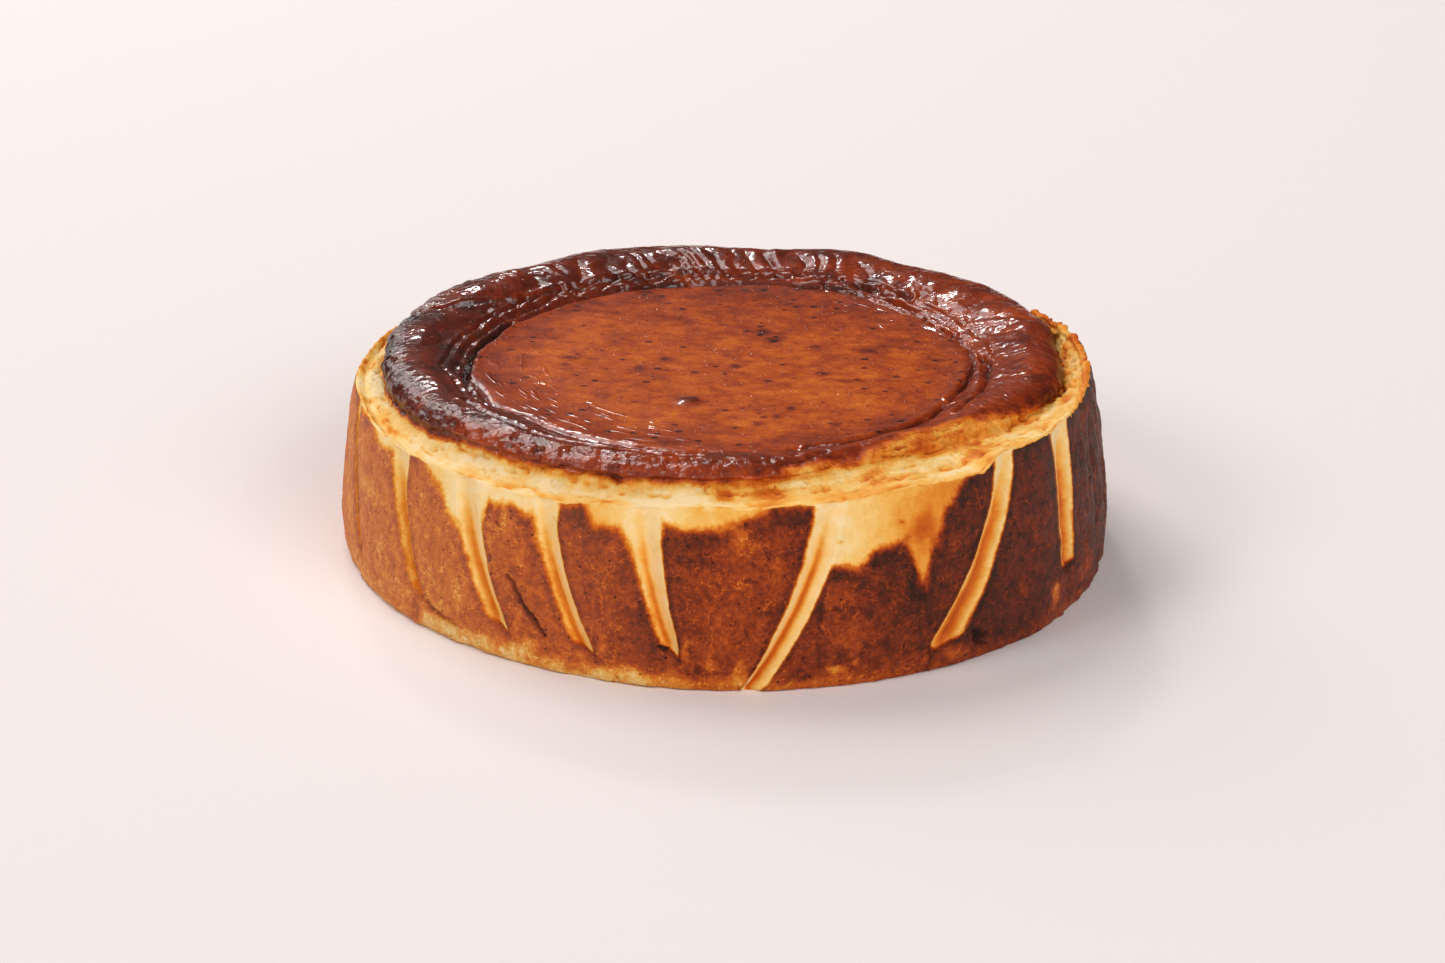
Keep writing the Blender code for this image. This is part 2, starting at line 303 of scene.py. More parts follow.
# Patches on the side lighter or darker than their surroundings:
# angle, height, half width, half height, change of browning.
PATCHES = (
    (-28.6, 10.5, 1.3, 4.5, -0.22), (-15.8, 9, 1.2, 3, -0.14), (-4.6, 11.5, 1.4, 4.5, -0.2),
    (2.9, 5, 2.4, 5.5, -0.24), (29, 9, 1.6, 3, -0.1), (37.4, 6.5, 2.8, 2.8, 0.12),
    (-65, 26.5, 8, 2.6, -0.12), (-58, 13, 1.5, 4, -0.08), (-44, 27.5, 1.6, 2, -0.14),
    (-46.5, 24, 1.2, 1.2, -0.1), (-42.4, 17, 1, 2.6, -0.14), (-39, 12.5, 1.6, 4.5, -0.1),
    (-32.4, 35, 2.6, 2.4, -0.16), (-28.8, 27, 0.9, 4.5, -0.13), (-12, 24, 4, 5, -0.05),
    (2.4, 38, 2.6, 3.2, -0.24), (7.4, 33, 2.2, 5, -0.11), (2.5, 27, 3.4, 4, -0.08),
    (-1.3, 8.5, 1.4, 5, -0.17), (15.4, 5, 2.8, 1.3, -0.36), (18, 6.4, 1.4, 1, -0.3),
    (15.5, 23.5, 4, 4, -0.07), (17.5, 13, 5, 5, -0.08), (33, 4, 5, 2.6, -0.16),
    (54.4, 7.5, 3.2, 3.6, -0.38), (65, 8, 6.5, 4.5, -0.18), (64.5, 15, 1.4, 4, -0.12),
    (46, 15, 2.4, 3.4, -0.08), (72.4, 27, 1.6, 5, -0.14), (71, 46.5, 1.2, 3, -0.3),
    (-39, 3, 15, 3.2, -0.17), (-27.5, 5, 5, 3.2, -0.26), (-14, 3, 10, 2.6, -0.15),
    (-19.5, 6, 3.4, 1.2, -0.18), (-62, 3.5, 8, 2.6, -0.06), (-66.3, 8.5, 1.3, 1.8, 0.3),
    (-48, 4, 2.6, 4, 0.24), (-77, 43, 4, 4, 0.18), (-68, 41.4, 6, 1.6, 0.16),
    (-52, 41, 3.4, 2.2, 0.13), (-35.6, 35.6, 1.8, 3.4, 0.13), (-29, 38, 3, 1.2, 0.1),
    (-21, 38, 4.5, 4, 0.1), (-5, 35, 6.5, 3.6, 0.08), (10.2, 42.6, 4, 3.2, 0.09),
    (22, 31, 6, 3, 0.09), (26, 31, 1.2, 1.6, 0.12), (19.8, 17.5, 1, 0.6, 0.34),
    (15.2, 20, 0.8, 0.6, 0.28), (11, 3.6, 4.5, 1.2, 0.2), (27.5, 38.5, 1.3, 1.5, 0.3),
    (23, 38, 0.6, 0.5, 0.2), (28.4, 36.5, 4.5, 5, 0.24), (45.2, 28, 2, 1.8, 0.18),
    (54, 36, 2.2, 4, 0.08),
)

# Cracks, as the angle and height of each point.
SIDE_CRACKS = (
    ((-31.8, 22.8), (-29.9, 20.4), (-29, 18), (-27.1, 14), (-25.4, 11.2), (-23.5, 8)),
    ((-47.6, 10.2), (-45.1, 6), (-42.2, 5.4), (-38.5, 4.6)),
    ((-9.4, 10), (-7.9, 10.6), (-6.1, 9.8)),
    ((35.7, 7.4), (37.4, 4.6), (39.7, 2.4)),
    ((36.9, 9), (37.4, 5.6), (39.6, 6)),
    ((35.9, 8.4), (37.9, 6.4)),
)
FINE_CRACKS = (
    ((-34.4, 34.6), (-33.2, 33.2), (-32.3, 32.2)),
    ((-34.6, 25.6), (-33.4, 24)),
    ((-61.5, 7.6), (-60, 6.2), (-57.2, 5.6)),
    ((-38.5, 36.5), (-38.2, 34.6), (-37.7, 32.6)),
    ((-24.9, 38.6), (-24.4, 36)),
    ((-14.6, 12.4), (-12.6, 10.8)),
    ((1.9, 27), (3.7, 28), (5.6, 26.2)),
    ((3.1, 17.6), (3.7, 13.6)),
    ((14.8, 36.2), (16.1, 35.7), (17.5, 36.2)),
    ((24.3, 39.6), (26.4, 39)),
    ((-66.6, 9.5), (-66, 6.5)),
)
# Creases of the top, as the angle and radius of each point.
TOP_CREASES = (
    ((-62, 72), (-72.6, 69.6), (-81, 67.6), (-90, 66.2), (-98.6, 64.8), (-106, 63.4), (-116, 63)),
    ((-109, 83.5), (-111, 80), (-114.5, 76.5), (-119, 72.6), (-124, 69), (-132, 67.4)),
    ((-126, 68.4), (-134, 67.6), (-144, 66.6), (-154, 67.4), (-166, 67.4), (-177, 66.8), (-188, 67.6)),
    ((-150, 62.6), (-160, 62.4), (-172, 62.2), (-184, 62.6), (-194, 63.8), (-205, 64.8)),
    ((170, 67.4), (163, 69.6), (154, 70.4), (146, 69.4), (139, 69.6), (133, 70.8)),
    ((158, 67), (148, 66.6), (140, 66.8), (130, 65.6), (122, 64.6)),
    ((121, 62.6), (115, 63.8), (109, 65.2), (102, 65.4), (92, 64.6), (81, 63.3), (74, 62.6), (63, 62.6)),
    ((63, 62.6), (52.6, 64.4), (44, 64.4), (34, 64.2), (26, 64.6), (16, 65.4)),
    ((96, 66.4), (89, 68), (78.7, 68.2), (68, 68.4), (59, 69), (52, 69.4)),
    ((-59, 76.5), (-48, 78.2), (-39, 79.4), (-30, 79.8), (-22, 79.6), (-11, 79.4), (-3, 79.4)),
)

# Dark spots on the middle: angle, radius, width and depth as seen from the front.
DARK_SPOTS = (
    (156.8, 25.1, 4.2, 3.2), (144.6, 20.6, 3.6, 3), (104.6, 38.1, 5.4, 4.2), (117, 27, 2.6, 2.4),
    (71, 26.4, 2.6, 2.8), (65.7, 32.8, 2.4, 2.6), (70.2, 37, 2.4, 2.6), (18.3, 42.4, 2.4, 2.4),
    (25.4, 38.2, 2.2, 2.4), (10.2, 46.8, 2.4, 2.4), (31.7, 52.1, 2.4, 2.4), (-91.6, 16, 2.6, 2.6),
    (-73, 23, 2.6, 3), (-63.8, 17.8, 2.4, 2.6), (33.3, 4.6, 2, 2.4), (-89.8, 40.3, 3.4, 2.2),
    (-82.4, 41.7, 3, 2.2), (-49.2, 41.5, 2.2, 2.2),
)
BLISTER = (-17.4, 31.7, 5.4, 5.0)

# Stage, in metres. Lights: size, place and colour. They all face the cake.
FLOOR_SIZE = 40.0
LIGHTS = {
    "key": ((1.3, 1.3), (-2.65, -1.65, 2.45), (1.0, 0.98, 0.96)),
    "top": ((1.8, 1.5), (-1.22, 1.45, 2.70), (1.0, 0.97, 0.95)),
    "window": ((1.3, 1.2), (-1.60, 2.47, 1.50), (1.0, 0.96, 0.94)),
    "spark": ((0.35, 0.35), (-0.50, 2.57, 2.01), (1.0, 0.98, 0.97)),
    "fill": ((2.4, 2.0), (1.9, -2.6, 2.4), (1.0, 0.98, 0.97)),
}
LIGHT_TARGET = (0.0, 0.0, 0.04)
SKY_COLOUR = (1.0, 0.975, 0.96, 1.0)
SKY_BEHIND = 0.05
SKY_IN_FRONT = 0.48
SENSOR_WIDTH = 36.0
CAMERA_PLACE = (-0.0008, -0.8054, 0.3380)
CAMERA_TILT = 68.0
CAMERA_ROLL = 1.1


# ---------------------------------------------------------------- numbers and noise


def ease(share):
    """Runs smoothly from 0 to 1."""
    share = np.clip(share, 0.0, 1.0)
    return share * share * (3.0 - 2.0 * share)


def between(value, low, high, soft):
    """1 from low to high, fading to 0 over soft on each side."""
    return ease((value - low) / soft + 1.0) * ease((high - value) / soft + 1.0)


def mix(first, second, share):
    return first + (second - first) * share


def around(angle, points):
    """A value that eases from each (angle, value) point to the next, all the way round."""
    angles = np.array([point[0] for point in points] + [points[0][0] + 360.0])
    values = np.array([point[1] for point in points] + [points[0][1]])
    turned = (angle - angles[0]) % 360.0 + angles[0]
    index = np.clip(np.searchsorted(angles, turned, side="right") - 1, 0, len(points) - 1)
    share = ease((turned - angles[index]) / (angles[index + 1] - angles[index]))
    return mix(values[index], values[index + 1], share)


def waves(angle, terms):
    """A sum of waves round the cake, each with its count, height and the angle of a crest."""
    return sum(size * np.cos(np.radians(count * (angle - crest))) for count, size, crest in terms)


def apart(angle, other):
    """Signed degrees from other to angle, from -180 to 180."""
    return (angle - other + 180.0) % 360.0 - 180.0


def lattice(cell_x, cell_y, cell_z, seed):
    """Repeatable numbers from 0 to 1 at whole-number places."""
    mixed = (cell_x * 73856093) ^ (cell_y * 19349663) ^ (cell_z * 83492791) ^ (seed * 39916801)
    mixed = ((mixed ^ (mixed >> 13)) * 1274126177) & 0xFFFFFFFF
    mixed = ((mixed ^ (mixed >> 15)) * 2246822519) & 0xFFFFFFFF
    return ((mixed ^ (mixed >> 16)) & 0xFFFF) / 65535.0


def noise(x, y, z, seed):
    """Smooth noise from -1 to 1 that changes over about one unit."""
    whole = [np.floor(value).astype(np.int64) for value in (x, y, z)]
    part = [value - cell for value, cell in zip((x, y, z), whole)]
    part = [value**3 * (value * (value * 6.0 - 15.0) + 10.0) for value in part]
    total = 0.0
    for corner in range(8):
        steps = (corner & 1, corner >> 1 & 1, corner >> 2)
        weight = 1.0
        for step, share in zip(steps, part):
            weight = weight * (share if step else 1.0 - share)
        cell = [base + step for base, step in zip(whole, steps)]
        total = total + weight * lattice(*cell, seed)
    return total * 2.0 - 1.0


def rough(x, y, z, seed, octaves=3):
    """Noise with finer and finer detail."""
    total, height, scale = 0.0, 1.0, 1.0
    for octave in range(octaves):
        total = total + height * noise(x * scale, y * scale, z * scale, seed + 17 * octave)
        height *= 0.5
        scale *= 2.03
    return total / (2.0 - 2.0 * height)


def puffed(value):
    """Turns noise into rounded puffs with sharp valleys between them, from -0.5 to 0.5."""
    return np.minimum(np.abs(value) * 2.2, 1.0) ** 0.7 - 0.5


def spots(x, y, z, seed):
    """Distance to the nearest of scattered points, one in each cell, and that point's own number."""
    whole = [np.floor(value).astype(np.int64) for value in (x, y, z)]
    nearest = np.full(x.shape, 9.0)
    number = np.zeros(x.shape)
    for step in range(27):
        offsets = (step % 3 - 1, step // 3 % 3 - 1, step // 9 - 1)
        cell = [base + offset for base, offset in zip(whole, offsets)]
        gap = 0.0
        for axis, value in enumerate((x, y, z)):
            gap = gap + (cell[axis] + lattice(*cell, seed + axis) - value) ** 2
        closer = gap < nearest
        nearest = np.where(closer, gap, nearest)
        number = np.where(closer, lattice(*cell, seed + 5), number)
    return np.sqrt(nearest), number


def line_gap(x, y, points):
    """Distance to a line through points, thinning out to 3 mm more at both its ends."""
    best = np.full(x.shape, FAR)
    lengths = [math.dist(start, end) for start, end in zip(points, points[1:])]
    done, whole = 0.0, sum(lengths)
    taper = min(2.5, 0.4 * whole)
    for (start_x, start_y), (end_x, end_y), size in zip(points, points[1:], lengths):
        step_x, step_y = (end_x - start_x) / size, (end_y - start_y) / size
        along = np.clip((x - start_x) * step_x + (y - start_y) * step_y, 0.0, size)
        gap = np.hypot(x - start_x - along * step_x, y - start_y - along * step_y)
        from_end = np.minimum(done + along, whole - done - along)
        best = np.minimum(best, gap + 3.0 * (1.0 - ease(from_end / taper + 0.2)))
        done += size
    return best


# ---------------------------------------------------------------- the shape


def all_folds():
    """The folds seen from the front, then those round the back at uneven steps."""
    folds = [Fold(*row) for row in FRONT_FOLDS]
    first, last = folds[0].lip_angle, folds[-1].lip_angle
    step = (first + 360.0 - last) / (BACK_FOLDS + 1)
    for number in range(BACK_FOLDS):
        lip_angle = last + step * (number + 1) + 3.0 * math.sin(2.4 * number)
        foot_angle = lip_angle + 7.0 * math.sin(1.7 * number + 0.6)
        lip_width = 6.5 + 1.5 * math.sin(1.3 * number)
        foot_width = 2.6 + 0.8 * math.cos(number)
        valley = 0.4 * math.sin(2.1 * number)
        shape = (BACK_FOLD_DEPTH, BACK_FOLD_END, valley, BACK_FOLD_BROWNING_AND_SHADE)
        folds.append(Fold(lip_angle, foot_angle, lip_width, foot_width, *shape))
    return folds


def foot_angles(lip_angle, folds):
    """The angle at the foot of the slanting column that has this angle at the lip."""
    starts = np.array([fold.lip_angle for fold in folds] + [folds[0].lip_angle + 360.0])
    ends = np.array([fold.foot_angle for fold in folds] + [folds[0].foot_angle + 360.0])
    turned = (lip_angle - starts[0]) % 360.0 + starts[0]
    return np.interp(turned, starts, ends) + lip_angle - turned


def lean(angle):
    """How far the lip stands in from the foot."""
    return LEAN + waves(angle, LEAN_WAVES)


def side_radius(angle, share, sizes):
    """Radius of the bare side at a share of the lip's height."""
    return sizes.foot_radius / MM + waves(angle, LOBES) - lean(angle) * share**LEAN_POWER


def through(points, counts):
    """Smooth curves through rows of points (Catmull-Rom), with counts[i] steps after point i."""
    points = [2.0 * points[0] - points[1], *points, 2.0 * points[-1] - points[-2]]
    made = []
    for index, count in enumerate(counts):
        before, start, end, after = points[index : index + 4]
        for step in range(count):
            t = step / count
            place = 2.0 * start + (end - before) * t
            place = place + (2.0 * before - 5.0 * start + 4.0 * end - after) * t**2
            place = place + (3.0 * start - before - 3.0 * end + after) * t**3
            made.append(0.5 * place)
    made.append(points[-2])
    return np.array(made)


def polar(angle, radius):
    turned = np.radians(angle)
    return radius * np.sin(turned), -radius * np.cos(turned)


class Surface:
    """The cake's surface as rows of points, from the middle of the underside to the middle of the top."""

    def __init__(self, sizes):
        self.sizes = sizes
        self.folds = all_folds()
        self.lip_angle = np.arange(COLUMNS) * 360.0 / COLUMNS - 180.0
        self.foot_angle = foot_angles(self.lip_angle, self.folds)
        self.lip_height = around(self.lip_angle, LIP_HEIGHTS) + self.ragged(LIP_REACH, LIP_RAGGED)
        self.hollow_radius = around(self.lip_angle, HOLLOW_RADII)
        self.hollow_radius += self.ragged(HOLLOW_REACH, HOLLOW_RAGGED)
        parts = (self.underside(), self.foot(), self.side(), self.top())
        self.angle, self.radius, self.height, self.share, self.zone = (
            np.concatenate([part[item] for part in parts]) for item in range(5)
        )
        steps = np.hypot(np.diff(self.radius, axis=0), np.diff(self.height, axis=0))
        steps = np.concatenate([np.zeros((1, COLUMNS)), np.cumsum(steps, axis=0)])
        self.along = steps.mean(1)
        self.inset = steps - steps[np.argmax(self.zone[:, 0] >= RING_FOOT)]
        self.x, self.y = polar(self.angle, self.radius)
        self.z = self.height

    def ragged(self, reach, noises):
        """Uneven lengths round the cake at this radius."""
        x, y = polar(self.lip_angle, reach)
        total = level = np.zeros(COLUMNS)
        for height, size, seed, octaves in noises:
            total = total + height * rough(x / size, y / size, level, seed, octaves)
        return total

    def band(self, angle, radius, height, share, zone):
        """One part of the surface, with its values filled in for every row and column."""
        values = (angle, radius, height, share)
        shape = np.broadcast_shapes(*(np.shape(value) for value in values))
        return (*(np.broadcast_to(value, shape) for value in values), np.full(shape, float(zone)))

    def underside(self):
        share = np.linspace(0.0, 1.0, UNDERSIDE_ROWS, endpoint=False)[:, None]
        edge = side_radius(self.foot_angle, 0.0, self.sizes) - FOOT_CURVE
        return self.band(self.foot_angle, edge * share, 0.0, 0.0, UNDERSIDE)

    def foot(self):
        turn = np.linspace(0.0, FOOT_TURN, FOOT_ROWS, endpoint=False)[:, None] * math.pi / 2.0
        edge = side_radius(self.foot_angle, 0.0, self.sizes)
        radius = edge - FOOT_CURVE * (1.0 - np.sin(turn))
        return self.band(self.foot_angle, radius, FOOT_CURVE * (1.0 - np.cos(turn)), 0.0, FOOT)

    def side(self):
        share = np.linspace(SIDE_START, 1.0, SIDE_ROWS, endpoint=False)[:, None]
        angle = self.lip_angle + (self.foot_angle - self.lip_angle) * (1.0 - share) ** FOLD_SWEEP
        radius = side_radius(angle, share, self.sizes)
        return self.band(angle, radius, share * self.lip_height, share, SIDE)

    def top(self):
        angle = self.lip_angle
        lip_radius = side_radius(angle, 1.0, self.sizes)
        inner_lip = lip_radius - LIP_WIDTH
        lip = self.lip_height
        edge = self.ragged(LEDGE_REACH, SKIN_RAGGED)
        foot = around(angle, RING_FOOT_RADII)
        crest_radius = around(angle, RING_CREST_RADII)
        crest = self.sizes.crest_height / MM - WRINKLE_ROOM + waves(angle, RING_WAVES)
        smooth_lip = around(angle, LIP_HEIGHTS)
        foot_height = around(angle, RING_FOOT_HEIGHTS) + 0.3 * edge
        torn = foot + 0.8 * edge
        gentle = around(angle, GENTLE)
        hollow_radius = self.hollow_radius
        hollow = self.sizes.hollow_height / MM
        ledge_height = np.minimum(mix(smooth_lip, foot_height, 0.6), smooth_lip) - 0.3
        level = np.zeros(COLUMNS)
        rows = [
            (lip_radius, lip),
            (inner_lip, lip - 0.4),
            (mix(inner_lip, foot, 0.5), ledge_height),
            (torn - 0.8, foot_height),
            (torn + mix(0.5, -2.6, gentle), mix(foot_height, crest, mix(0.35, 0.42, gentle))),
            (foot - mix(1.7, 6.0, gentle), mix(foot_height, crest, 0.84)),
            (crest_radius, crest),
            (mix(crest_radius, hollow_radius, 0.38), crest - 1.2),
            (mix(crest_radius, hollow_radius, 0.72), crest - 3.3),
            (hollow_radius, hollow + level),
            (hollow_radius - 2.0, hollow + 0.6 + level),
        ]
        rows += [(radius + level, hollow + 0.3 + level) for radius in MIDDLE_RADII]
        radius = through([row[0] for row in rows], TOP_ROWS)
        height = through([row[1] for row in rows], TOP_ROWS)
        row_numbers = np.arange(sum(TOP_ROWS) + 1)
        zone = np.interp(row_numbers, np.cumsum((0, *TOP_ROWS)), np.arange(len(TOP_ROWS) + 1.0) + LIP)
        spread = self.band(angle, radius, height, 1.0, LIP)
        return (*spread[:4], np.broadcast_to(zone[:, None], radius.shape))

    def normals(self):
        """Unit directions out of the bare surface, from its neighbours along rows and columns."""
        points = np.stack((self.x, self.y, self.z), axis=-1)
        along = np.gradient(points, axis=0)
        across = np.roll(points, -1, axis=1) - np.roll(points, 1, axis=1)
        outward = np.cross(across, along)
        length = np.linalg.norm(outward, axis=-1, keepdims=True)
        upright = np.zeros_like(outward)
        upright[..., 2] = np.where(self.zone >= LIP, 1.0, -1.0)
        return np.where(length > 1e-6, outward / np.maximum(length, 1e-6), upright)

    def grain(self, size, seed, octaves=3):
        """Even noise with cells of this size."""
        return rough(self.x / size, self.y / size, self.z / size, seed, octaves)

    def crumpled(self, size, seed):
        """Rounded puffs of uneven size with sharp valleys between them."""
        cells = (self.x / size / 1.6, self.y / size / 1.6, self.z / size)
        bend_x, bend_y = (0.35 * size * noise(*cells, seed + step) for step in (7, 8))
        return puffed(rough((self.x + bend_x) / size, (self.y + bend_y) / size, self.z / size, seed, 2))

    def drawn(self, arc, reach, seed, octaves=3, twist=0.0):
        """Noise with cells arc long round the cake and reach long across the ring."""
        turned = np.radians(self.angle) + twist * self.inset / 75.0
        turned = turned + 0.03 * self.grain(14.0, seed + 3, 2)
        scale = 75.0 / arc
        return rough(scale * np.sin(turned), scale * np.cos(turned), self.inset / reach, seed, octaves)

    def pleats(self, width, twist, seed):
        """Rounded pleats of uneven width across the ring, with sharp valleys between them."""
        count = round(2.0 * math.pi * RING_REACH / width)
        bend = twist * self.inset + 1.4 * width * self.grain(2.6 * width, seed, 2)
        swell = np.clip(0.55 + 1.8 * self.grain(3.2 * width, seed + 5, 2), 0.0, 1.4)
        phase = 0.5 * count * np.radians(self.angle) + math.pi / width * bend
        return swell * (np.abs(np.sin(phase)) ** 0.8 - 0.5)

    def side_crack_gap(self, cracks):
        """Distance to the nearest of these cracks, along the side."""
        wobble = 0.5 * self.grain(2.6, 31, 2)
        arc = np.radians(self.angle) * SIDE_REACH
        best = np.full(arc.shape, FAR)
        for crack in cracks:
            points = [(math.radians(angle) * SIDE_REACH, height) for angle, height in crack]
            best = np.minimum(best, line_gap(arc + wobble, self.z + wobble, points))
        return np.where(self.zone == SIDE, best, FAR)

    def top_crease_gap(self):
        """Distance to the nearest crease of the top, as seen from above."""
        wobble = 0.5 * self.grain(3.0, 33, 2)
        best = np.full(self.x.shape, FAR)
        for crease in TOP_CREASES:
            points = [polar(*point) for point in crease]
            best = np.minimum(best, line_gap(self.x + wobble, self.y + wobble, points))
        return np.where(self.zone >= SHOULDER, best, FAR)

    def spot_mask(self, spot, softness, ragged=0.0):
        """1 inside a spot on the middle of the top."""
        centre_x, centre_y = polar(np.array(spot[0]), spot[1])
        reach = np.hypot((self.x - centre_x) / (spot[2] / 2.0), (self.y - centre_y) / (spot[3] / 2.0))
        return ease((1.0 - reach + ragged) / softness + 0.5) * (self.zone > HOLLOW - 1)


def fold_places(surface):
    """For each fold: how far across it (-1 to 1), half its width, where it is present, and itself."""
    found = []
    for fold in surface.folds:
        across = apart(np.broadcast_to(surface.lip_angle, surface.angle.shape), fold.lip_angle)
        arc = np.radians(across) * surface.radius
        half_width = mix(fold.foot_width, fold.lip_width, surface.share**1.3) / 2.0
        arc = arc + 0.35 * surface.grain(5.0, 35, 2) * (np.abs(arc) < 12.0)
        present = ease((surface.height - fold.end) / 6.0 + 0.5)
        found.append((arc / half_width, half_width, present, fold))
    return found


def shallow(surface):
    """The folds and panels flatten out towards the lip."""
    return 1.0 - (1.0 - FOLD_AT_LIP) * ease((surface.share - 0.75) / 0.25)


def fold_relief(surface, places):
    """The folds' grooves, each with a thin raised edge on its right."""
    total = np.zeros(surface.angle.shape)
    for across, _, present, fold in places:
        flank = np.where(across < fold.valley, 1.0 + fold.valley, 1.0 - fold.valley)
        groove = 1.0 - ease(np.abs(across - fold.valley) / flank)
        edge = np.exp(-(((across - 0.98) / 0.25) ** 2))
        total += (0.5 * edge - fold.depth * groove) * present
    return total * shallow(surface)


def panel_swell(surface):
    """Each panel bulges a little between its two folds."""
    centres = sorted(apart(fold.lip_angle, 0.0) for fold in surface.folds)
    centres = np.array([centres[-1] - 360.0, *centres, centres[0] + 360.0])
    index = np.searchsorted(centres, surface.lip_angle, side="right") - 1
    share = (surface.lip_angle - centres[index]) / (centres[index + 1] - centres[index])
    return PANEL_BULGE * np.sin(np.pi * share) * ease(surface.share * 4.0) * shallow(surface)


def side_relief(surface, places):
    """Everything that stands out of or cuts into the side and the foot."""
    on_side = (surface.zone == FOOT) | (surface.zone == SIDE)
    relief = fold_relief(surface, places) + panel_swell(surface)
    browned = ease(side_edge(surface, places) / 1.5)
    relief += 0.45 * surface.grain(16.0, 41, 2)
    relief += browned * (0.28 + 0.22 * surface.grain(3.2, 43, 3))
    gap, number = spots(surface.x / 2.8, surface.y / 2.8, surface.z / 2.8, 51)
    relief -= browned * PIT_DEPTH * ease(1.0 - gap / 0.27) * (number > 0.55)
    # The dark right side is puckered from top to bottom.
    puckers = rough(surface.x / 2.6, surface.y / 2.6, surface.z / 12.0, 61, 3)
    relief += PUCKER_HEIGHT * around(surface.angle, PUCKERED) * browned * puckers
    low = ease(1.0 - surface.height / 6.0)
    relief += FOOT_UNEVENNESS * low * rough(surface.x / 3.4, surface.y / 3.4, surface.z / 5.0, 71, 2)
    relief -= CRACK_DEPTH * (1.0 - ease(surface.side_crack_gap(SIDE_CRACKS)))
    relief -= FINE_CRACK_DEPTH * (1.0 - ease(surface.side_crack_gap(FINE_CRACKS) / 0.6))
    return relief * on_side


def top_relief(surface):
    """Wrinkles, lumps and creases of the ledge, the ring and the middle."""
    angle, radius, zone, inset = surface.angle, surface.radius, surface.zone, surface.inset
    burnt = ease(top_edge(surface) / 1.5 + 0.5)
    ledge = (1.0 - burnt) * ease((zone - LIP) / 1.5)

    relief = ledge * (0.6 * surface.grain(5.0, 83, 3) - 0.8 * strata_lines(surface))
    crumbly = around(angle, CRUMBLY)
    relief += crumbly * (zone < RING_FOOT) * CRUMB_HEIGHT * puffed(surface.grain(4.2, 85, 3))
    lip_gap = (inset - inset[np.argmax(zone[:, 0] >= INNER_LIP)]) / 0.8
    relief -= LIP_GROOVE_DEPTH * np.exp(-((lip_gap - 0.8) ** 2))

    on_ring = burnt * ease((HOLLOW + 0.2 - zone) / 1.2)
    rim = on_ring * ease(1.0 - (inset - 7.0) / 4.0)
    # Short ridges run across the charred rim at the left, and small torn blisters follow in front.
    ridged = around(angle, RIDGED)
    relief += rim * ridged * (0.6 * surface.pleats(3.2, 0.3, 91) + 0.5 * surface.crumpled(4.0, 92))
    torn = around(angle, BLISTERED)
    relief += rim * torn * (0.55 * surface.crumpled(4.0, 93) - 0.7 * rim_cuts(surface))

    # Pleats with sharp creases between them hang down the slope that faces the middle at the back.
    facing = on_ring * ease((zone - (SHOULDER + 0.2)) / 1.2)
    pleated = around(angle, PLEATED)
    relief += facing * pleated * PLEAT_HEIGHT * surface.pleats(5.6, 0.45, 97)
    lumpy = around(angle, LUMPY)
    relief += facing * lumpy * LUMP_HEIGHT * surface.crumpled(16.0, 98)

    wrinkles = 0.2 * surface.pleats(3.0, -0.5, 101) + 0.28 * surface.crumpled(7.0, 102)
    relief += on_ring * around(angle, WRINKLED) * wrinkles
    relief += on_ring * 0.5 * surface.grain(10.0, 103, 3)

    # Skin that slid down into the hollow lies in ropes round it.
    climb = radius - surface.hollow_radius + 1.5 * surface.drawn(16.0, 30.0, 105, 2)
    climb += 0.4 * surface.grain(4.0, 106, 2)
    ropes = ROPE_HEIGHT * (np.abs(np.sin(climb * math.pi / ROPE_SPACING)) ** 0.8 - 0.5)
    roped = around(angle, ROPED)
    relief += roped * ropes * between(climb, 0.3, 7.0, 1.5) * (zone > SHOULDER)

    middle = ease(zone - (HOLLOW + 0.4))
    relief += middle * 0.18 * surface.grain(7.0, 109, 3)
    relief += BLISTER_HEIGHT * surface.spot_mask(BLISTER, 1.2)
    crease = surface.top_crease_gap()
    relief += 0.3 * np.exp(-(((crease - 1.8) / 0.7) ** 2)) - CREASE_DEPTH * (1.0 - ease(crease / 0.9))
    relief -= 0.5 * (1.0 - ease(crease / 2.4)) * (radius > 66.0)
    return relief * (zone >= LIP)


def lively(surface):
    """1 where small ripples in the skin catch the light: round the front left of the middle."""
    by_angle = around(surface.angle, LIVELY)
    return by_angle * between(surface.radius, 49.0, 64.0, 4.0) * (surface.zone > SHOULDER)


def charred(surface):
    """1 on the rough rim of the burnt ring, from the left to the front."""
    by_angle = around(surface.angle, CHARRED)
    return by_angle * ease(1.0 - (surface.inset - 8.0) / 5.0) * (surface.zone > INNER_LIP)


def rim_cuts(surface):
    """1 in the short cuts that run along the front of the burnt rim."""
    return ease((surface.drawn(3.2, 1.2, 94, 1) - 0.35) / 0.25)


def strata_lines(surface):
    """Thin torn lines that run along the ledge."""
    layered = rough(surface.x / 16.0, surface.y / 16.0, surface.inset / 2.0, 81, 2)
    return ease(1.0 - np.abs(layered) / 0.09)


# ---------------------------------------------------------------- how brown it is


def side_edge(surface, places):
    """How far inside the browned panels, in mm: negative on the pale band and in the folds."""
    line = around(surface.angle, PALE_LINE)
    ahead = around(surface.angle + 0.25, PALE_LINE)
    slope = (ahead - line) / (math.radians(0.25) * 97.0)
    line = line + 1.3 * surface.grain(4.0, 205, 2)
    edge = (line - surface.height) / np.sqrt(1.0 + slope**2) / 1.7
    for across, half_width, present, fold in places:
        if fold.browning >= PANEL_DEEP:
            continue
        outside = np.maximum(-1.0 - across, 1.8 * (across - 1.0)) * half_width
        edge = np.minimum(edge, outside + 6.0 * (1.0 - present))
    return edge


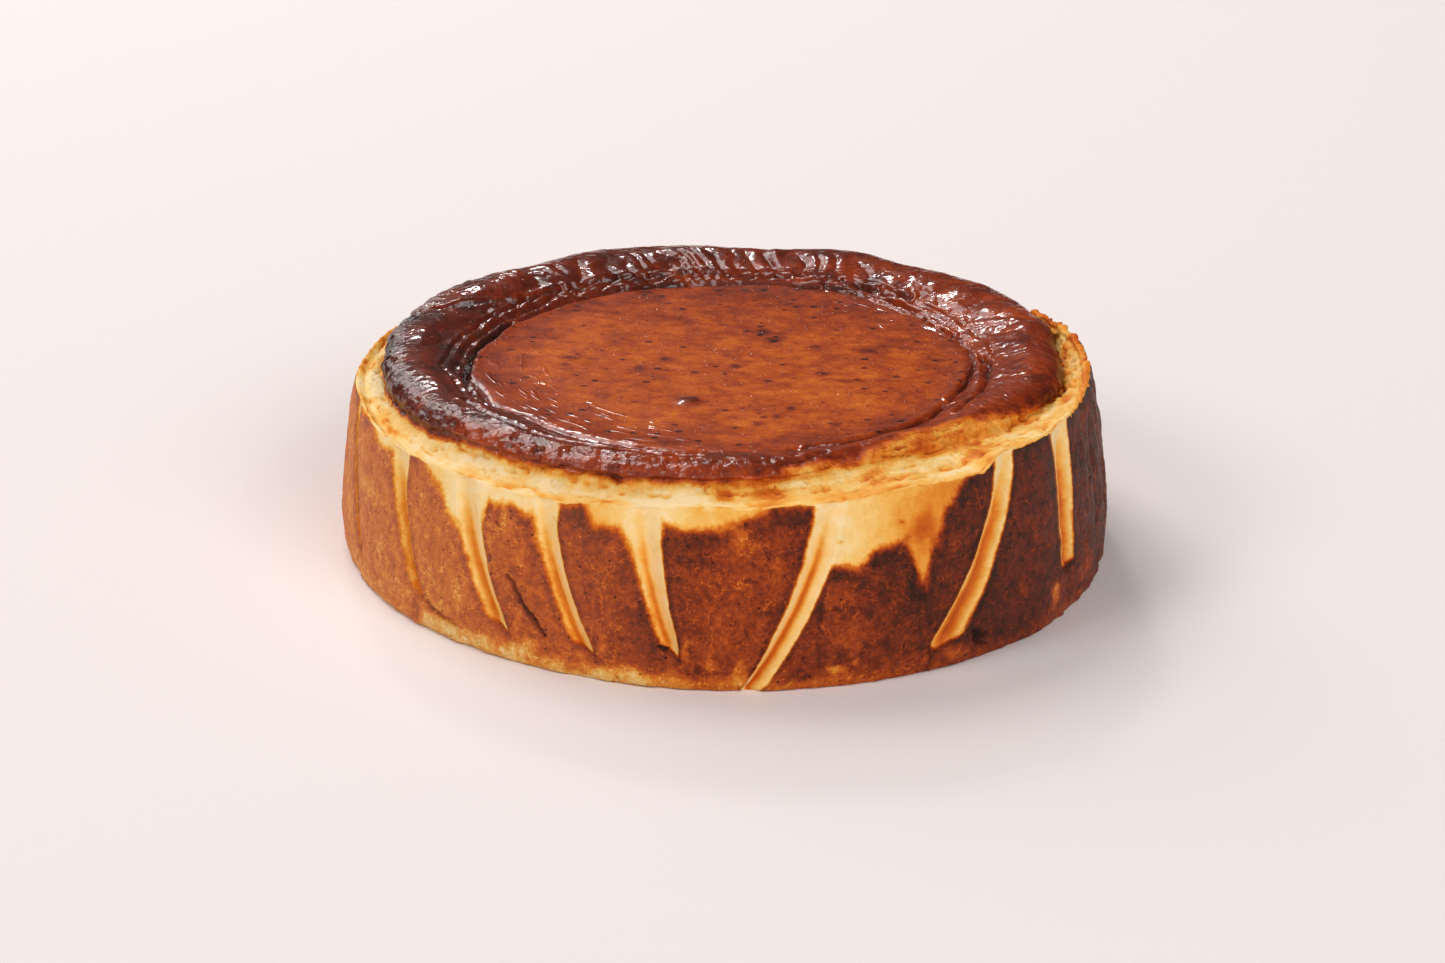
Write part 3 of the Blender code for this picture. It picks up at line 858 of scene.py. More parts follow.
def top_edge(surface):
    """How far inside the burnt skin, in mm: negative on the ledge."""
    softness = around(surface.angle, BURNT_SOFTNESS)
    start = around(surface.angle, BURNT_INSET)
    ragged = 0.5 * surface.grain(4.0, 207, 2) * (1.0 + 0.5 * softness)
    return (surface.inset - start + ragged + 0.6) / softness


def patches(surface):
    """The sum of the side's lighter and darker patches."""
    total = np.zeros(surface.angle.shape)
    ragged = 0.55 * surface.grain(3.4, 211, 3)
    for angle, height, half_width, half_height, change in PATCHES:
        arc = np.radians(apart(surface.angle, angle)) * SIDE_REACH
        reach = np.hypot(arc / half_width, (surface.height - height) / half_height)
        total += change * ease((1.15 - reach + ragged) / 0.9)
    return total * (surface.zone <= SIDE)


def side_browning_and_shade(surface, places):
    """How brown the side's pale parts and panels are, with painted light and shade."""
    pale = around(surface.angle, PALE_BROWNING) + 0.06 * surface.grain(9.0, 209, 3)
    # Painted light on the left panels and painted shade on the right ones, besides their browning.
    panel = around(surface.angle, PANEL_BROWNING_AND_SHADING) + 0.05 * surface.grain(14.0, 201, 3)
    change = patches(surface)
    for across, half_width, present, fold in places:
        if fold.browning >= PANEL_DEEP:
            continue
        inside = ease((1.3 - np.abs(across)) * half_width / 0.9) * present
        # The valley's browned band also paints its shade, on the bank turned from the light.
        line = np.exp(-(((across - 1.2 * fold.valley) / 0.26) ** 2))
        shade = 0.04 + fold.browning * line * ease((1.05 - surface.share) / 0.5)
        shade = shade + 0.08 * ease(1.0 - surface.share * 1.8)
        pale = mix(pale, shade, inside)
    low = ease(1.15 - surface.height / 5.0 + 0.5 * surface.grain(5.0, 213, 3))
    panel = panel - around(surface.angle, FOOT_GOLD) * low
    # The cracks are darkened: painted shade.
    crack = 1.0 - ease(surface.side_crack_gap(SIDE_CRACKS) / 0.8)
    crack = crack + 0.6 * (1.0 - ease(surface.side_crack_gap(FINE_CRACKS) / 0.6))
    pale = pale + np.minimum(change, MOST_PALE_CHANGE) + PALE_CRACK_SHADE * crack
    panel = np.minimum(panel + change, MOST_PANEL_BROWNING) + PANEL_CRACK_SHADE * crack
    return pale, panel


def top_browning_and_shade(surface):
    """How brown the ledge, the burnt skin and the middle are, with painted shade in creases and cuts."""
    angle, radius, zone = surface.angle, surface.radius, surface.zone
    layered = rough(surface.x / 14.0, surface.y / 14.0, surface.inset / 1.8, 225, 2)
    ledge = around(angle, LEDGE_BROWNING) + 0.14 * layered + 0.15 * surface.grain(9.0, 221, 2)
    ledge += 0.15 * strata_lines(surface)
    from_lip = surface.inset - surface.inset[np.argmax(zone[:, 0] >= LIP + 0.5)]
    toasted = around(angle, TOASTED)
    ledge += toasted * ease(1.0 - from_lip / 2.6 + 0.7 * surface.grain(3.4, 226, 2))
    island = ease((surface.grain(6.0, 223, 3) - 0.14) / 0.14)
    ledge += 0.12 * island * ease((ledge - 0.10) / 0.1)
    near_ring = around(angle, NEAR_RING)
    ledge += near_ring * ease(1.0 + surface.inset / 4.0 + 0.5 * surface.grain(4.0, 224, 2))
    inner = ease((zone - (RING_WALL + 0.2)) / 1.8)
    ring = mix(around(angle, RING_BROWNING), around(angle, INNER_BROWNING), inner)
    ring += 0.09 * surface.grain(10.0, 227, 3) + 0.05 * surface.grain(4.0, 228, 2)
    middle = MIDDLE_BROWNING + 0.06 * surface.grain(12.0, 231, 3) + 0.05 * surface.grain(4.5, 233, 3)
    middle += MIDDLE_EDGE_BROWNING * ease((radius - 44.0) / 20.0)
    middle += MIDDLE_BACK_BROWNING * ease((surface.y - 5.0) / 45.0)
    for spot in DARK_SPOTS:
        middle += SPOT_BROWNING * surface.spot_mask(spot, 1.1, 0.35 * surface.grain(2.0, 235, 2))
    skin = mix(ring, middle, ease(zone - HOLLOW))
    skin += BLISTER_BROWNING * surface.spot_mask(BLISTER, 1.0)
    # Painted shade in the rim's cuts.
    torn = around(angle, SHADED_CUTS)
    skin += CUT_SHADE * torn * rim_cuts(surface) * ease(1.0 - (surface.inset - 7.0) / 4.0)
    # Painted shade in the creases.
    skin += CREASE_SHADE * (1.0 - ease(surface.top_crease_gap() / 1.1))
    return ledge, skin


def top_gloss(surface):
    """How glossy the ledge, the ring and the middle are."""
    skin = mix(around(surface.angle, RING_GLOSS), MIDDLE_GLOSS, ease(surface.zone - HOLLOW))
    return mix(LEDGE_GLOSS, skin, ease(top_edge(surface) + 0.5)) * (1.0 - 0.15 * charred(surface))


# ---------------------------------------------------------------- mesh making


def leave_edit_mode():
    if bpy.context.mode != "OBJECT":
        bpy.ops.object.mode_set(mode="OBJECT")


def draw_section(name, points):
    """Draws the half section as a chain of edges, from the underside's middle to the top's middle."""
    bpy.ops.object.select_all(action="DESELECT")
    bpy.ops.mesh.primitive_plane_add(size=MM, location=points[0])
    piece = bpy.context.object
    piece.name = name
    piece.data.name = name
    bpy.ops.object.mode_set(mode="EDIT")
    bpy.ops.mesh.select_all(action="SELECT")
    bpy.ops.mesh.merge(type="CENTER")
    for start, end in zip(points, points[1:]):
        bpy.ops.mesh.extrude_region_move(TRANSFORM_OT_translate={"value": end - start})
    leave_edit_mode()
    bpy.ops.object.transform_apply(location=True, rotation=True, scale=True)
    rows = piece.data.attributes.new("row", "FLOAT", "POINT")
    rows.data.foreach_set("value", np.arange(len(points), dtype=np.float32))
    return piece


def turn_round(piece):
    """Turns the half section into a closed body."""
    screw = piece.modifiers.new("turn round", "SCREW")
    screw.axis = "Z"
    screw.angle = 2.0 * math.pi
    screw.steps = screw.render_steps = COLUMNS
    screw.use_merge_vertices = True
    screw.merge_threshold = 0.001 * MM
    bpy.ops.object.modifier_apply(modifier=screw.name)
    while piece.data.uv_layers:
        piece.data.uv_layers.remove(piece.data.uv_layers[0])


def face_outwards():
    """Turns the active piece's faces outwards."""
    bpy.ops.object.mode_set(mode="EDIT")
    bpy.ops.mesh.select_all(action="SELECT")
    bpy.ops.mesh.normals_make_consistent(inside=False)
    leave_edit_mode()


def vertex_places(piece):
    places = np.empty(len(piece.data.vertices) * 3, np.float32)
    piece.data.vertices.foreach_get("co", places)
    return places.reshape(-1, 3).astype(float)


def put_attribute(piece, name, values):
    attribute = piece.data.attributes.new(name, "FLOAT", "POINT")
    attribute.data.foreach_set("value", np.ascontiguousarray(values, np.float32))


def take_attribute(piece, name):
    values = np.empty(len(piece.data.vertices), np.float32)
    piece.data.attributes[name].data.foreach_get("value", values)
    piece.data.attributes.remove(piece.data.attributes[name])
    return values


def fit_inside(points, low, high):
    """Centres the points on the CAD solid's box, and shrinks a side that comes within a hair of it."""
    mid = (points.max(0) + points.min(0)) / 2.0
    size = points.max(0) - points.min(0)
    points = (points - mid) * np.minimum(1.0, (high - low - 2.0 * FIT_MARGIN * MM) / size)
    points[:, :2] += (low + high)[:2] / 2.0
    points[:, 2] += low[2] - points[:, 2].min()
    return points


def sculpt(piece, surface):
    """Moves every vertex to its place on the finished surface and marks its browning and painted shade."""
    folds = fold_places(surface)
    relief = (side_relief(surface, folds) + top_relief(surface))[..., None]
    outward = surface.normals()
    outward[surface.zone <= FOOT, 2] = 0.0
    places = np.stack((surface.x, surface.y, surface.z), axis=-1) + outward * relief
    on_top = surface.zone >= LIP
    side_pale, side_panel = side_browning_and_shade(surface, folds)
    top_pale, top_skin = top_browning_and_shade(surface)
    fields = {
        "edge": np.clip(np.where(on_top, top_edge(surface), side_edge(surface, folds)), -6.0, 6.0),
        # Pale and browned also hold painted shade: in folds, cracks, creases, cuts and on the right side.
        "pale": np.where(on_top, top_pale, side_pale),
        "browned": np.where(on_top, top_skin, side_panel),
        "skin": np.where(on_top, ease(top_edge(surface) + 0.5), 0.0),
        "gloss": np.where(on_top, top_gloss(surface), around(surface.angle, SIDE_GLOSS)),
        "lively": lively(surface),
        "charred": charred(surface),
        "crumple": ease((surface.zone - INNER_LIP) / 2.0) * ease((HOLLOW + 1.5 - surface.zone) / 1.5),
        # Painted sheen of the light from the left, mixed with a pale bloom, on the panels.
        "floury": np.where(on_top, 0.0, around(surface.angle, PAINTED_SHEEN_BLOOM)),
    }
    for values in (places, *fields.values()):
        values[0] = values[0].mean(0)
        values[-1] = values[-1].mean(0)

    start = vertex_places(piece)
    rows = np.rint(take_attribute(piece, "row")).astype(int)
    turned = np.degrees(np.arctan2(start[:, 0], -start[:, 1]))
    columns = np.rint((turned + 180.0) / 360.0 * COLUMNS).astype(int) % COLUMNS
    low, high = (np.array(corner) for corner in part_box(CAD_NODE))
    finished = fit_inside(places[rows, columns] * MM, low, high)
    piece.data.vertices.foreach_set("co", finished.astype(np.float32).ravel())
    for name, values in fields.items():
        put_attribute(piece, name, values[rows, columns])
    put_attribute(piece, "along", surface.along[rows])
    piece.data.update()


def thin_out(piece, most):
    """Merges the flattest triangles until the piece is light enough."""
    piece.data.calc_loop_triangles()
    count = len(piece.data.loop_triangles)
    if count <= most:
        return
    modifier = piece.modifiers.new("thin out", "DECIMATE")
    modifier.ratio = most / count
    modifier.use_collapse_triangulate = True
    bpy.ops.object.modifier_apply(modifier=modifier.name)


def lay_flat(piece, foot, lip, middle):
    """Writes a map: the side as two strips, the top as a large disc and the base as a small one."""
    data = piece.data
    side_length, side_height, top_reach = math.pi * MAP_SIDE_RADIUS, lip - foot, middle - lip
    sheet = max(side_length + 2.0 * MAP_GAP, 2.0 * top_reach + 2.0 * side_height + 5.0 * MAP_GAP)
    places = vertex_places(piece) / MM
    along = take_attribute(piece, "along")
    corners = np.empty(len(data.loops), np.int32)
    data.loops.foreach_get("vertex_index", corners)
    faces = corners.reshape(-1, 3)
    face_along = along[faces].mean(1)
    centre = places[faces].mean(1)
    turned = np.degrees(np.arctan2(places[:, 0], -places[:, 1]))[faces]
    face_turned = np.degrees(np.arctan2(centre[:, 0], -centre[:, 1]))
    corner_along = along[faces]
    uv = np.zeros((len(faces), 3, 2))
    top, base = face_along > lip, face_along < foot

    def disc(chosen, reach, x, y):
        direction = np.radians(turned[chosen])
        uv[chosen, :, 0] = x + reach * np.sin(direction)
        uv[chosen, :, 1] = y - reach * np.cos(direction)

    disc(top, (middle - corner_along)[top], top_reach + MAP_GAP, top_reach + MAP_GAP)
    base_reach = foot * MAP_BASE_SHARE
    base_x = 2.0 * top_reach + 3.0 * MAP_GAP + base_reach
    disc(base, corner_along[base] * MAP_BASE_SHARE, base_x, base_reach + MAP_GAP)
    for front in (True, False):
        half = ~top & ~base & ((np.abs(face_turned) <= 90.0) == front)
        offset = apart(turned[half], 0.0 if front else 180.0)
        row = 2.0 * top_reach + 2.5 * MAP_GAP + (0.0 if front else side_height + MAP_GAP)
        uv[half, :, 0] = side_length / 2.0 + MAP_GAP + offset / 180.0 * side_length
        uv[half, :, 1] = row + corner_along[half] - foot
    layer = data.uv_layers.new(name="OFBake")
    layer.uv.foreach_set("vector", (uv / sheet).astype(np.float32).ravel())


# ---------------------------------------------------------------- materials


class Nodes:
    """Short ways to add and join nodes of one material."""

    def __init__(self, material):
        material.use_nodes = True
        self.tree = material.node_tree
        self.tree.nodes.clear()

    def add(self, kind, **values):
        node = self.tree.nodes.new(kind)
        for name, value in values.items():
            setattr(node, name, value)
        return node

    def put(self, source, socket):
        """Links a socket, or sets a plain number on it."""
        if isinstance(source, (int, float)):
            socket.default_value = source
        else:
            self.tree.links.new(source, socket)

    def math(self, operation, first, second=0.0, third=0.0, clamp=False):
        node = self.add("ShaderNodeMath", operation=operation, use_clamp=clamp)
        for source, socket in zip((first, second, third), node.inputs):
            self.put(source, socket)
        return node.outputs[0]

    def times(self, first, second):
        return self.math("MULTIPLY", first, second)

    def rest(self, source):
        """What is left of a share."""
        return self.math("SUBTRACT", 1.0, source)

    def sway(self, source, size):
        """A noise value moved to run round zero and scaled."""
        return self.math("MULTIPLY_ADD", source, size, -0.5 * size)

    def total(self, *sources):
        result = sources[0]
        for source in sources[1:]:
            result = self.math("ADD", result, source)
        return result

    def attribute(self, name):
        """A field on the mesh."""
        return self.add("ShaderNodeAttribute", attribute_name=name).outputs["Fac"]

    def swayed(self, name, noises, sizes):
        """A field on the mesh that noises of these sizes move."""
        return self.total(self.attribute(name), *map(self.sway, noises, sizes))

    def noise(self, place, size, detail=3.0, roughness=0.55):
        """Noise with cells of about this size in millimetres."""
        node = self.add("ShaderNodeTexNoise")
        for name, value in (("Scale", 1.0 / (size * MM)), ("Detail", detail), ("Roughness", roughness)):
            node.inputs[name].default_value = value
        self.put(place, node.inputs["Vector"])
        return node.outputs["Fac"]

    def dots(self, place, size, reach, rarity):
        """1 on small dots scattered in cells of this size in millimetres."""
        node = self.add("ShaderNodeTexVoronoi")
        node.inputs["Scale"].default_value = 1.0 / (size * MM)
        self.put(place, node.inputs["Vector"])
        chosen = self.add("ShaderNodeSeparateColor")
        self.put(node.outputs["Color"], chosen.inputs["Color"])
        chosen = self.math("GREATER_THAN", chosen.outputs["Red"], rarity)
        return self.times(self.spread(node.outputs["Distance"], reach, 0.4 * reach), chosen)

    def stretched(self, place, scale):
        """The place with each axis scaled, so that a pattern runs longer where the scale is under 1."""
        node = self.add("ShaderNodeVectorMath", operation="MULTIPLY")
        self.put(place, node.inputs[0])
        node.inputs[1].default_value = scale
        return node.outputs["Vector"]

    def round_and_across(self, place, reach, shortened):
        """The place laid out flat: along an arc at this reach in millimetres, shortened, and across it."""
        split = self.add("ShaderNodeSeparateXYZ")
        self.put(place, split.inputs["Vector"])
        x, y = split.outputs["X"], split.outputs["Y"]
        turned = self.math("ARCTAN2", x, self.times(y, -1.0))
        across = self.math("SQRT", self.total(self.times(x, x), self.times(y, y)))
        joined = self.add("ShaderNodeCombineXYZ")
        self.put(self.times(turned, reach * MM * shortened), joined.inputs["X"])
        self.put(across, joined.inputs["Y"])
        return joined.outputs["Vector"]

    def spread(self, source, low, high, new_low=0.0, new_high=1.0):
        """Runs smoothly from the first new value to the second while the source goes from low to high."""
        node = self.add("ShaderNodeMapRange", interpolation_type="SMOOTHSTEP")
        names = ("From Min", "From Max", "To Min", "To Max")
        for name, number in zip(names, (low, high, new_low, new_high)):
            node.inputs[name].default_value = number
        self.put(source, node.inputs["Value"])
        return node.outputs["Result"]

    def blend(self, first, second, share):
        """A number that runs from the first to the second as the share goes from 0 to 1."""
        node = self.add("ShaderNodeMix", data_type="FLOAT", clamp_factor=True)
        for source, socket in zip((share, first, second), (node.inputs[0], node.inputs[2], node.inputs[3])):
            self.put(source, socket)
        return node.outputs[0]

    def tint(self, first, colour, share):
        """A colour mixed with a share of a plain one."""
        node = self.add("ShaderNodeMix", data_type="RGBA")
        self.put(share, node.inputs[0])
        self.put(first, node.inputs[6])
        node.inputs[7].default_value = (*colour, 1.0)
        return node.outputs[2]

    def ramp(self, source, stops):
        """The colour at the source's place between stops, each a position and a colour."""
        node = self.add("ShaderNodeValToRGB")
        elements = node.color_ramp.elements
        while len(elements) < len(stops):
            elements.new(1.0)
        for element, (position, colour) in zip(elements, stops):
            element.position = position
            element.color = (*colour, 1.0)
        self.put(source, node.inputs["Fac"])
        return node.outputs["Color"]

    def finish(self, shader):
        output = self.add("ShaderNodeOutputMaterial")
        self.put(shader.outputs["BSDF"], output.inputs["Surface"])


def crust_patterns(nodes):
    """The fields, noises and masks that the crust's colour and its finest relief share."""
    place = nodes.add("ShaderNodeTexCoord").outputs["Object"]
    skin, crumple = nodes.attribute("skin"), nodes.attribute("crumple")
    matt = nodes.rest(skin)
    fine = nodes.noise(place, 0.9, 4.0, 0.6)
    mottle = nodes.noise(place, 3.6)
    edge = nodes.total(nodes.attribute("edge"), nodes.sway(mottle, 1.0), nodes.sway(fine, 0.3))
    return SimpleNamespace(
        place=place,
        skin=skin,
        crumple=crumple,
        matt=matt,
        fine=fine,
        crisp=nodes.noise(place, 1.9, 5.0, 0.7),
        mottle=mottle,
        broad=nodes.noise(place, 12.0, 4.0),
        pores=nodes.dots(place, 2.4, 0.14, 0.35),
        edge=edge,
        on_ledge=nodes.times(crumple, matt),
        on_panels=nodes.times(nodes.spread(edge, 0.0, 1.0), matt),
        on_middle=nodes.times(skin, nodes.rest(crumple)),
    )


def side_detail(nodes, at):
    """Crumb, specks, veins and pores of the browned panels."""
    veined = nodes.math("ABSOLUTE", nodes.math("SUBTRACT", nodes.noise(at.place, 6.5, 5.0, 0.65), 0.5))
    veins = nodes.times(nodes.spread(veined, 0.03, 0.0), nodes.spread(at.mottle, 0.46, 0.56))
    return nodes.total(
        nodes.sway(at.crisp, 0.54),
        nodes.sway(at.mottle, 0.08),
        nodes.times(nodes.dots(at.place, 1.7, 0.17, 0.4), -0.20),
        nodes.times(veins, -0.18),
        # The pores are darkened: painted shade.
        nodes.times(at.pores, 0.30),
    )


def middle_detail(nodes, at):
    """Streaks and freckles of the sunken middle."""
    flattened = nodes.stretched(at.place, (0.7, 1.0, 1.0))
    streaked = nodes.noise(flattened, 3.0, 5.0, 0.65)
    large = nodes.times(nodes.dots(flattened, 3.6, 0.26, 0.3), nodes.spread(at.broad, 0.42, 0.52))
    small = nodes.times(nodes.dots(at.place, 2.1, 0.2, 0.5), 0.7)
    return nodes.total(nodes.sway(streaked, 0.34), nodes.times(nodes.total(large, small), 0.34))


def crust_browning_and_shade(nodes, at):
    """How brown the crust is, with its painted shade: 0 is cream and 1 is char."""
    noises = (at.broad, at.mottle, at.fine)
    pale = nodes.swayed("pale", noises, (0.14, 0.18, 0.06))
    pale = nodes.total(pale, nodes.times(nodes.sway(at.crisp, 0.34), at.on_ledge))
    # The panels are darkest just inside their edge.
    rim = nodes.times(nodes.spread(at.edge, 0.3, 1.1), nodes.spread(at.edge, 3.6, 1.4))
    rim = nodes.times(rim, nodes.times(at.matt, 0.09))
    browned = nodes.total(nodes.swayed("browned", noises, (0.28, 0.26, 0.18)), rim)
    return nodes.total(
        nodes.blend(pale, browned, nodes.spread(at.edge, -1.0, 0.9)),
        nodes.times(side_detail(nodes, at), at.on_panels),
        nodes.times(middle_detail(nodes, at), at.on_middle),
    )


def crust_relief(nodes, at):
    """The finest relief: crumb on the matt parts, ripples and blisters on the burnt skin."""
    pits = nodes.times(at.pores, at.on_panels)
    crumb = nodes.total(nodes.times(at.fine, 0.6), at.crisp, nodes.times(pits, -0.8))
    strength = nodes.blend(nodes.blend(0.22, 0.9, at.on_ledge), 1.0, nodes.spread(at.edge, -0.5, 1.0))
    creased = nodes.times(nodes.noise(at.place, 2.8, 1.0), 0.4)
    ripples = nodes.noise(nodes.round_and_across(at.place, 56.0, 0.26), 2.1, 1.0)
    ripples = nodes.times(nodes.spread(ripples, 0.56, 0.76), 0.28)
    charred_noise = nodes.times(nodes.noise(at.place, 1.5), CHAR_ROUGHNESS)
    smooth = nodes.total(
        nodes.times(creased, at.crumple),
        nodes.times(ripples, nodes.attribute("lively")),
        nodes.times(charred_noise, nodes.attribute("charred")),
        nodes.times(nodes.dots(at.place, 2.4, 0.2, 0.5), 0.2),
    )
    bump = nodes.add("ShaderNodeBump")
    bump.inputs["Distance"].default_value = BUMP_DEPTH * MM
    nodes.put(nodes.blend(nodes.times(crumb, strength), smooth, at.skin), bump.inputs["Height"])
    return bump.outputs["Normal"]


def crust_material(crust):
    """Cream to char by the fields on the mesh, matt on the side and glossy on the burnt skin."""
    material = bpy.data.materials.new("baked crust")
    nodes = Nodes(material)
    at = crust_patterns(nodes)
    shades = [(start, getattr(crust, shade)) for start, shade in SHADES]
    # A pale bloom and a painted sheen of the light from the left tint the panels.
    bloom = nodes.times(nodes.attribute("floury"), nodes.times(at.on_panels, 0.19))
    colour = nodes.tint(nodes.ramp(crust_browning_and_shade(nodes, at), shades), crust.painted_sheen_colour, bloom)
    roughness = nodes.blend(crust.side_roughness, crust.skin_roughness, at.skin)
    roughness = nodes.math("ADD", roughness, nodes.sway(at.mottle, 0.2), clamp=True)

    shader = nodes.add("ShaderNodeBsdfPrincipled")
    nodes.put(colour, shader.inputs["Base Color"])
    nodes.put(roughness, shader.inputs["Roughness"])
    shader.inputs["Specular IOR Level"].default_value = SPECULAR_LEVEL
    nodes.put(nodes.attribute("gloss"), shader.inputs["Coat Weight"])
    shader.inputs["Coat Roughness"].default_value = GLOSS_ROUGHNESS
    relief = crust_relief(nodes, at)
    for socket in ("Normal", "Coat Normal"):
        nodes.put(relief, shader.inputs[socket])
    nodes.finish(shader)
    return material


def floor_material(colour):
    material = bpy.data.materials.new("pale floor")
    nodes = Nodes(material)
    shader = nodes.add("ShaderNodeBsdfPrincipled")
    shader.inputs["Base Color"].default_value = (*colour, 1.0)
    shader.inputs["Roughness"].default_value = 0.9
    shader.inputs["Specular IOR Level"].default_value = 0.0
    nodes.finish(shader)
    return material


# ---------------------------------------------------------------- settings


def length(name, description, default):
    return bpy.props.FloatProperty(
        name=name, description=description, default=default * MM, min=0.0, unit="LENGTH", subtype="DISTANCE"
    )


def colour(name, description, default):
    return bpy.props.FloatVectorProperty(
        name=name, description=description, default=default, size=3, min=0.0, max=1.0, subtype="COLOR"
    )


def factor(name, description, default):
    return bpy.props.FloatProperty(
        name=name, description=description, default=default, min=0.0, max=1.0, subtype="FACTOR"
    )


def power(name, description, default):
    return bpy.props.FloatProperty(
        name=name, description=description, default=default, min=0.0, unit="POWER"
    )


class CheesecakeSizes(bpy.types.PropertyGroup):
    foot_radius: length("Foot radius", "Mean radius of the side at the foot", 100.45)
    crest_height: length("Crest height", "Height of the burnt ring's crest", 51.6)
    hollow_height: length("Hollow height", "Height of the crease round the sunken middle", 46.0)


class CheesecakeCrust(bpy.types.PropertyGroup):
    cream: colour("Cream", "Where the paper kept it pale", (0.94, 0.71, 0.385))
    pale_gold: colour("Pale gold", "First warmth of the oven", (0.92, 0.60, 0.205))
    gold: colour("Gold", "Lightly baked", (0.88, 0.45, 0.088))
    amber: colour("Amber", "Golden crumb", (0.80, 0.285, 0.032))
    orange: colour("Orange", "Halo round the browned panels", (0.68, 0.165, 0.014))
    toffee: colour("Toffee", "Light crust", (0.54, 0.098, 0.009))
    caramel: colour("Caramel", "Middle of the top", (0.38, 0.054, 0.008))
    brown: colour("Brown", "Browned panels", (0.24, 0.031, 0.007))
    mahogany: colour("Mahogany", "Dark crust", (0.12, 0.016, 0.006))
    burnt: colour("Burnt", "Burnt ring", (0.045, 0.010, 0.006))
    char: colour("Char", "Blackest spots", (0.013, 0.007, 0.005))
    # A pale bloom mixed with a painted sheen of the light from the left.
    painted_sheen_colour: colour("Painted sheen", "Pale bloom and painted sheen on the left panels", (0.80, 0.50, 0.32))
    side_roughness: factor("Side roughness", "Roughness of the matt side", 0.58)
    skin_roughness: factor("Skin roughness", "Roughness of the top skin under its gloss", 0.38)


class CheesecakeStage(bpy.types.PropertyGroup):
    floor_colour: colour("Floor colour", "Plain pale floor", (0.85, 0.785, 0.77))
    key_power: power("Key light", "Power of the light at the front left", 41.0)
    window_power: power("Window light", "Power of the low light behind, at the left", 20.0)
    spark_power: power("Spark light", "Power of the small light that makes the skin glint", 15.0)
    top_power: power("Top light", "Power of the large light high behind, at the left", 46.0)
    fill_power: power("Fill light", "Power of the large light at the front right", 68.0)
    focal_length: bpy.props.FloatProperty(
        name="Focal length", description="Camera lens on a 36 mm sensor, in millimetres", default=82.2
    )


# ---------------------------------------------------------------- operators


class CHEESECAKE_OT_cake(bpy.types.Operator):
    """Model the cheesecake as one closed piece and give it its crust"""

    bl_idname = "cheesecake.cake"
    bl_label = "Cheesecake"

    def execute(self, context):
        scene = context.scene
        surface = Surface(scene.cheesecake_sizes)
        section = [
            Vector((radius * MM, 0.0, height * MM))
            for radius, height in zip(surface.radius.mean(1), surface.height.mean(1))
        ]
        piece = draw_section("baked_cheesecake", section)
        turn_round(piece)
        sculpt(piece, surface)
        thin_out(piece, MOST_TRIANGLES)
        face_outwards()
        first_zone = surface.zone[:, 0]
        foot, lip = (surface.along[np.argmax(first_zone >= zone)] for zone in (FOOT, LIP))
        lay_flat(piece, foot, lip, surface.along[-1])
        bpy.ops.object.shade_smooth()
        piece.data.materials.append(crust_material(scene.cheesecake_crust))
        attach(piece, "root")
        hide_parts(CAD_NODE)
        return {"FINISHED"}


def soft_box(name, power, size, place, colour):
    bpy.ops.object.light_add(type="AREA", location=place)
    light = bpy.context.object
    light.name = name
    light.data.energy = power
    light.data.shape = "RECTANGLE"
    light.data.size, light.data.size_y = size
    light.data.color = colour
    light.rotation_euler = (Vector(LIGHT_TARGET) - Vector(place)).to_track_quat("-Z", "Y").to_euler()


def soft_sky():
    """Faint light all round, stronger from the front."""
    world = bpy.data.worlds.new("studio")
    bpy.context.scene.world = world
    world.use_nodes = True
    nodes = Nodes(world)
    place = nodes.add("ShaderNodeTexCoord").outputs["Generated"]
    split = nodes.add("ShaderNodeSeparateXYZ")
    nodes.put(place, split.inputs["Vector"])
    background = nodes.add("ShaderNodeBackground")
    background.inputs["Color"].default_value = SKY_COLOUR
    strength = nodes.spread(split.outputs["Y"], 0.3, -0.8, SKY_BEHIND, SKY_IN_FRONT)
    nodes.put(strength, background.inputs["Strength"])
    output = nodes.add("ShaderNodeOutputWorld")
    nodes.put(background.outputs["Background"], output.inputs["Surface"])


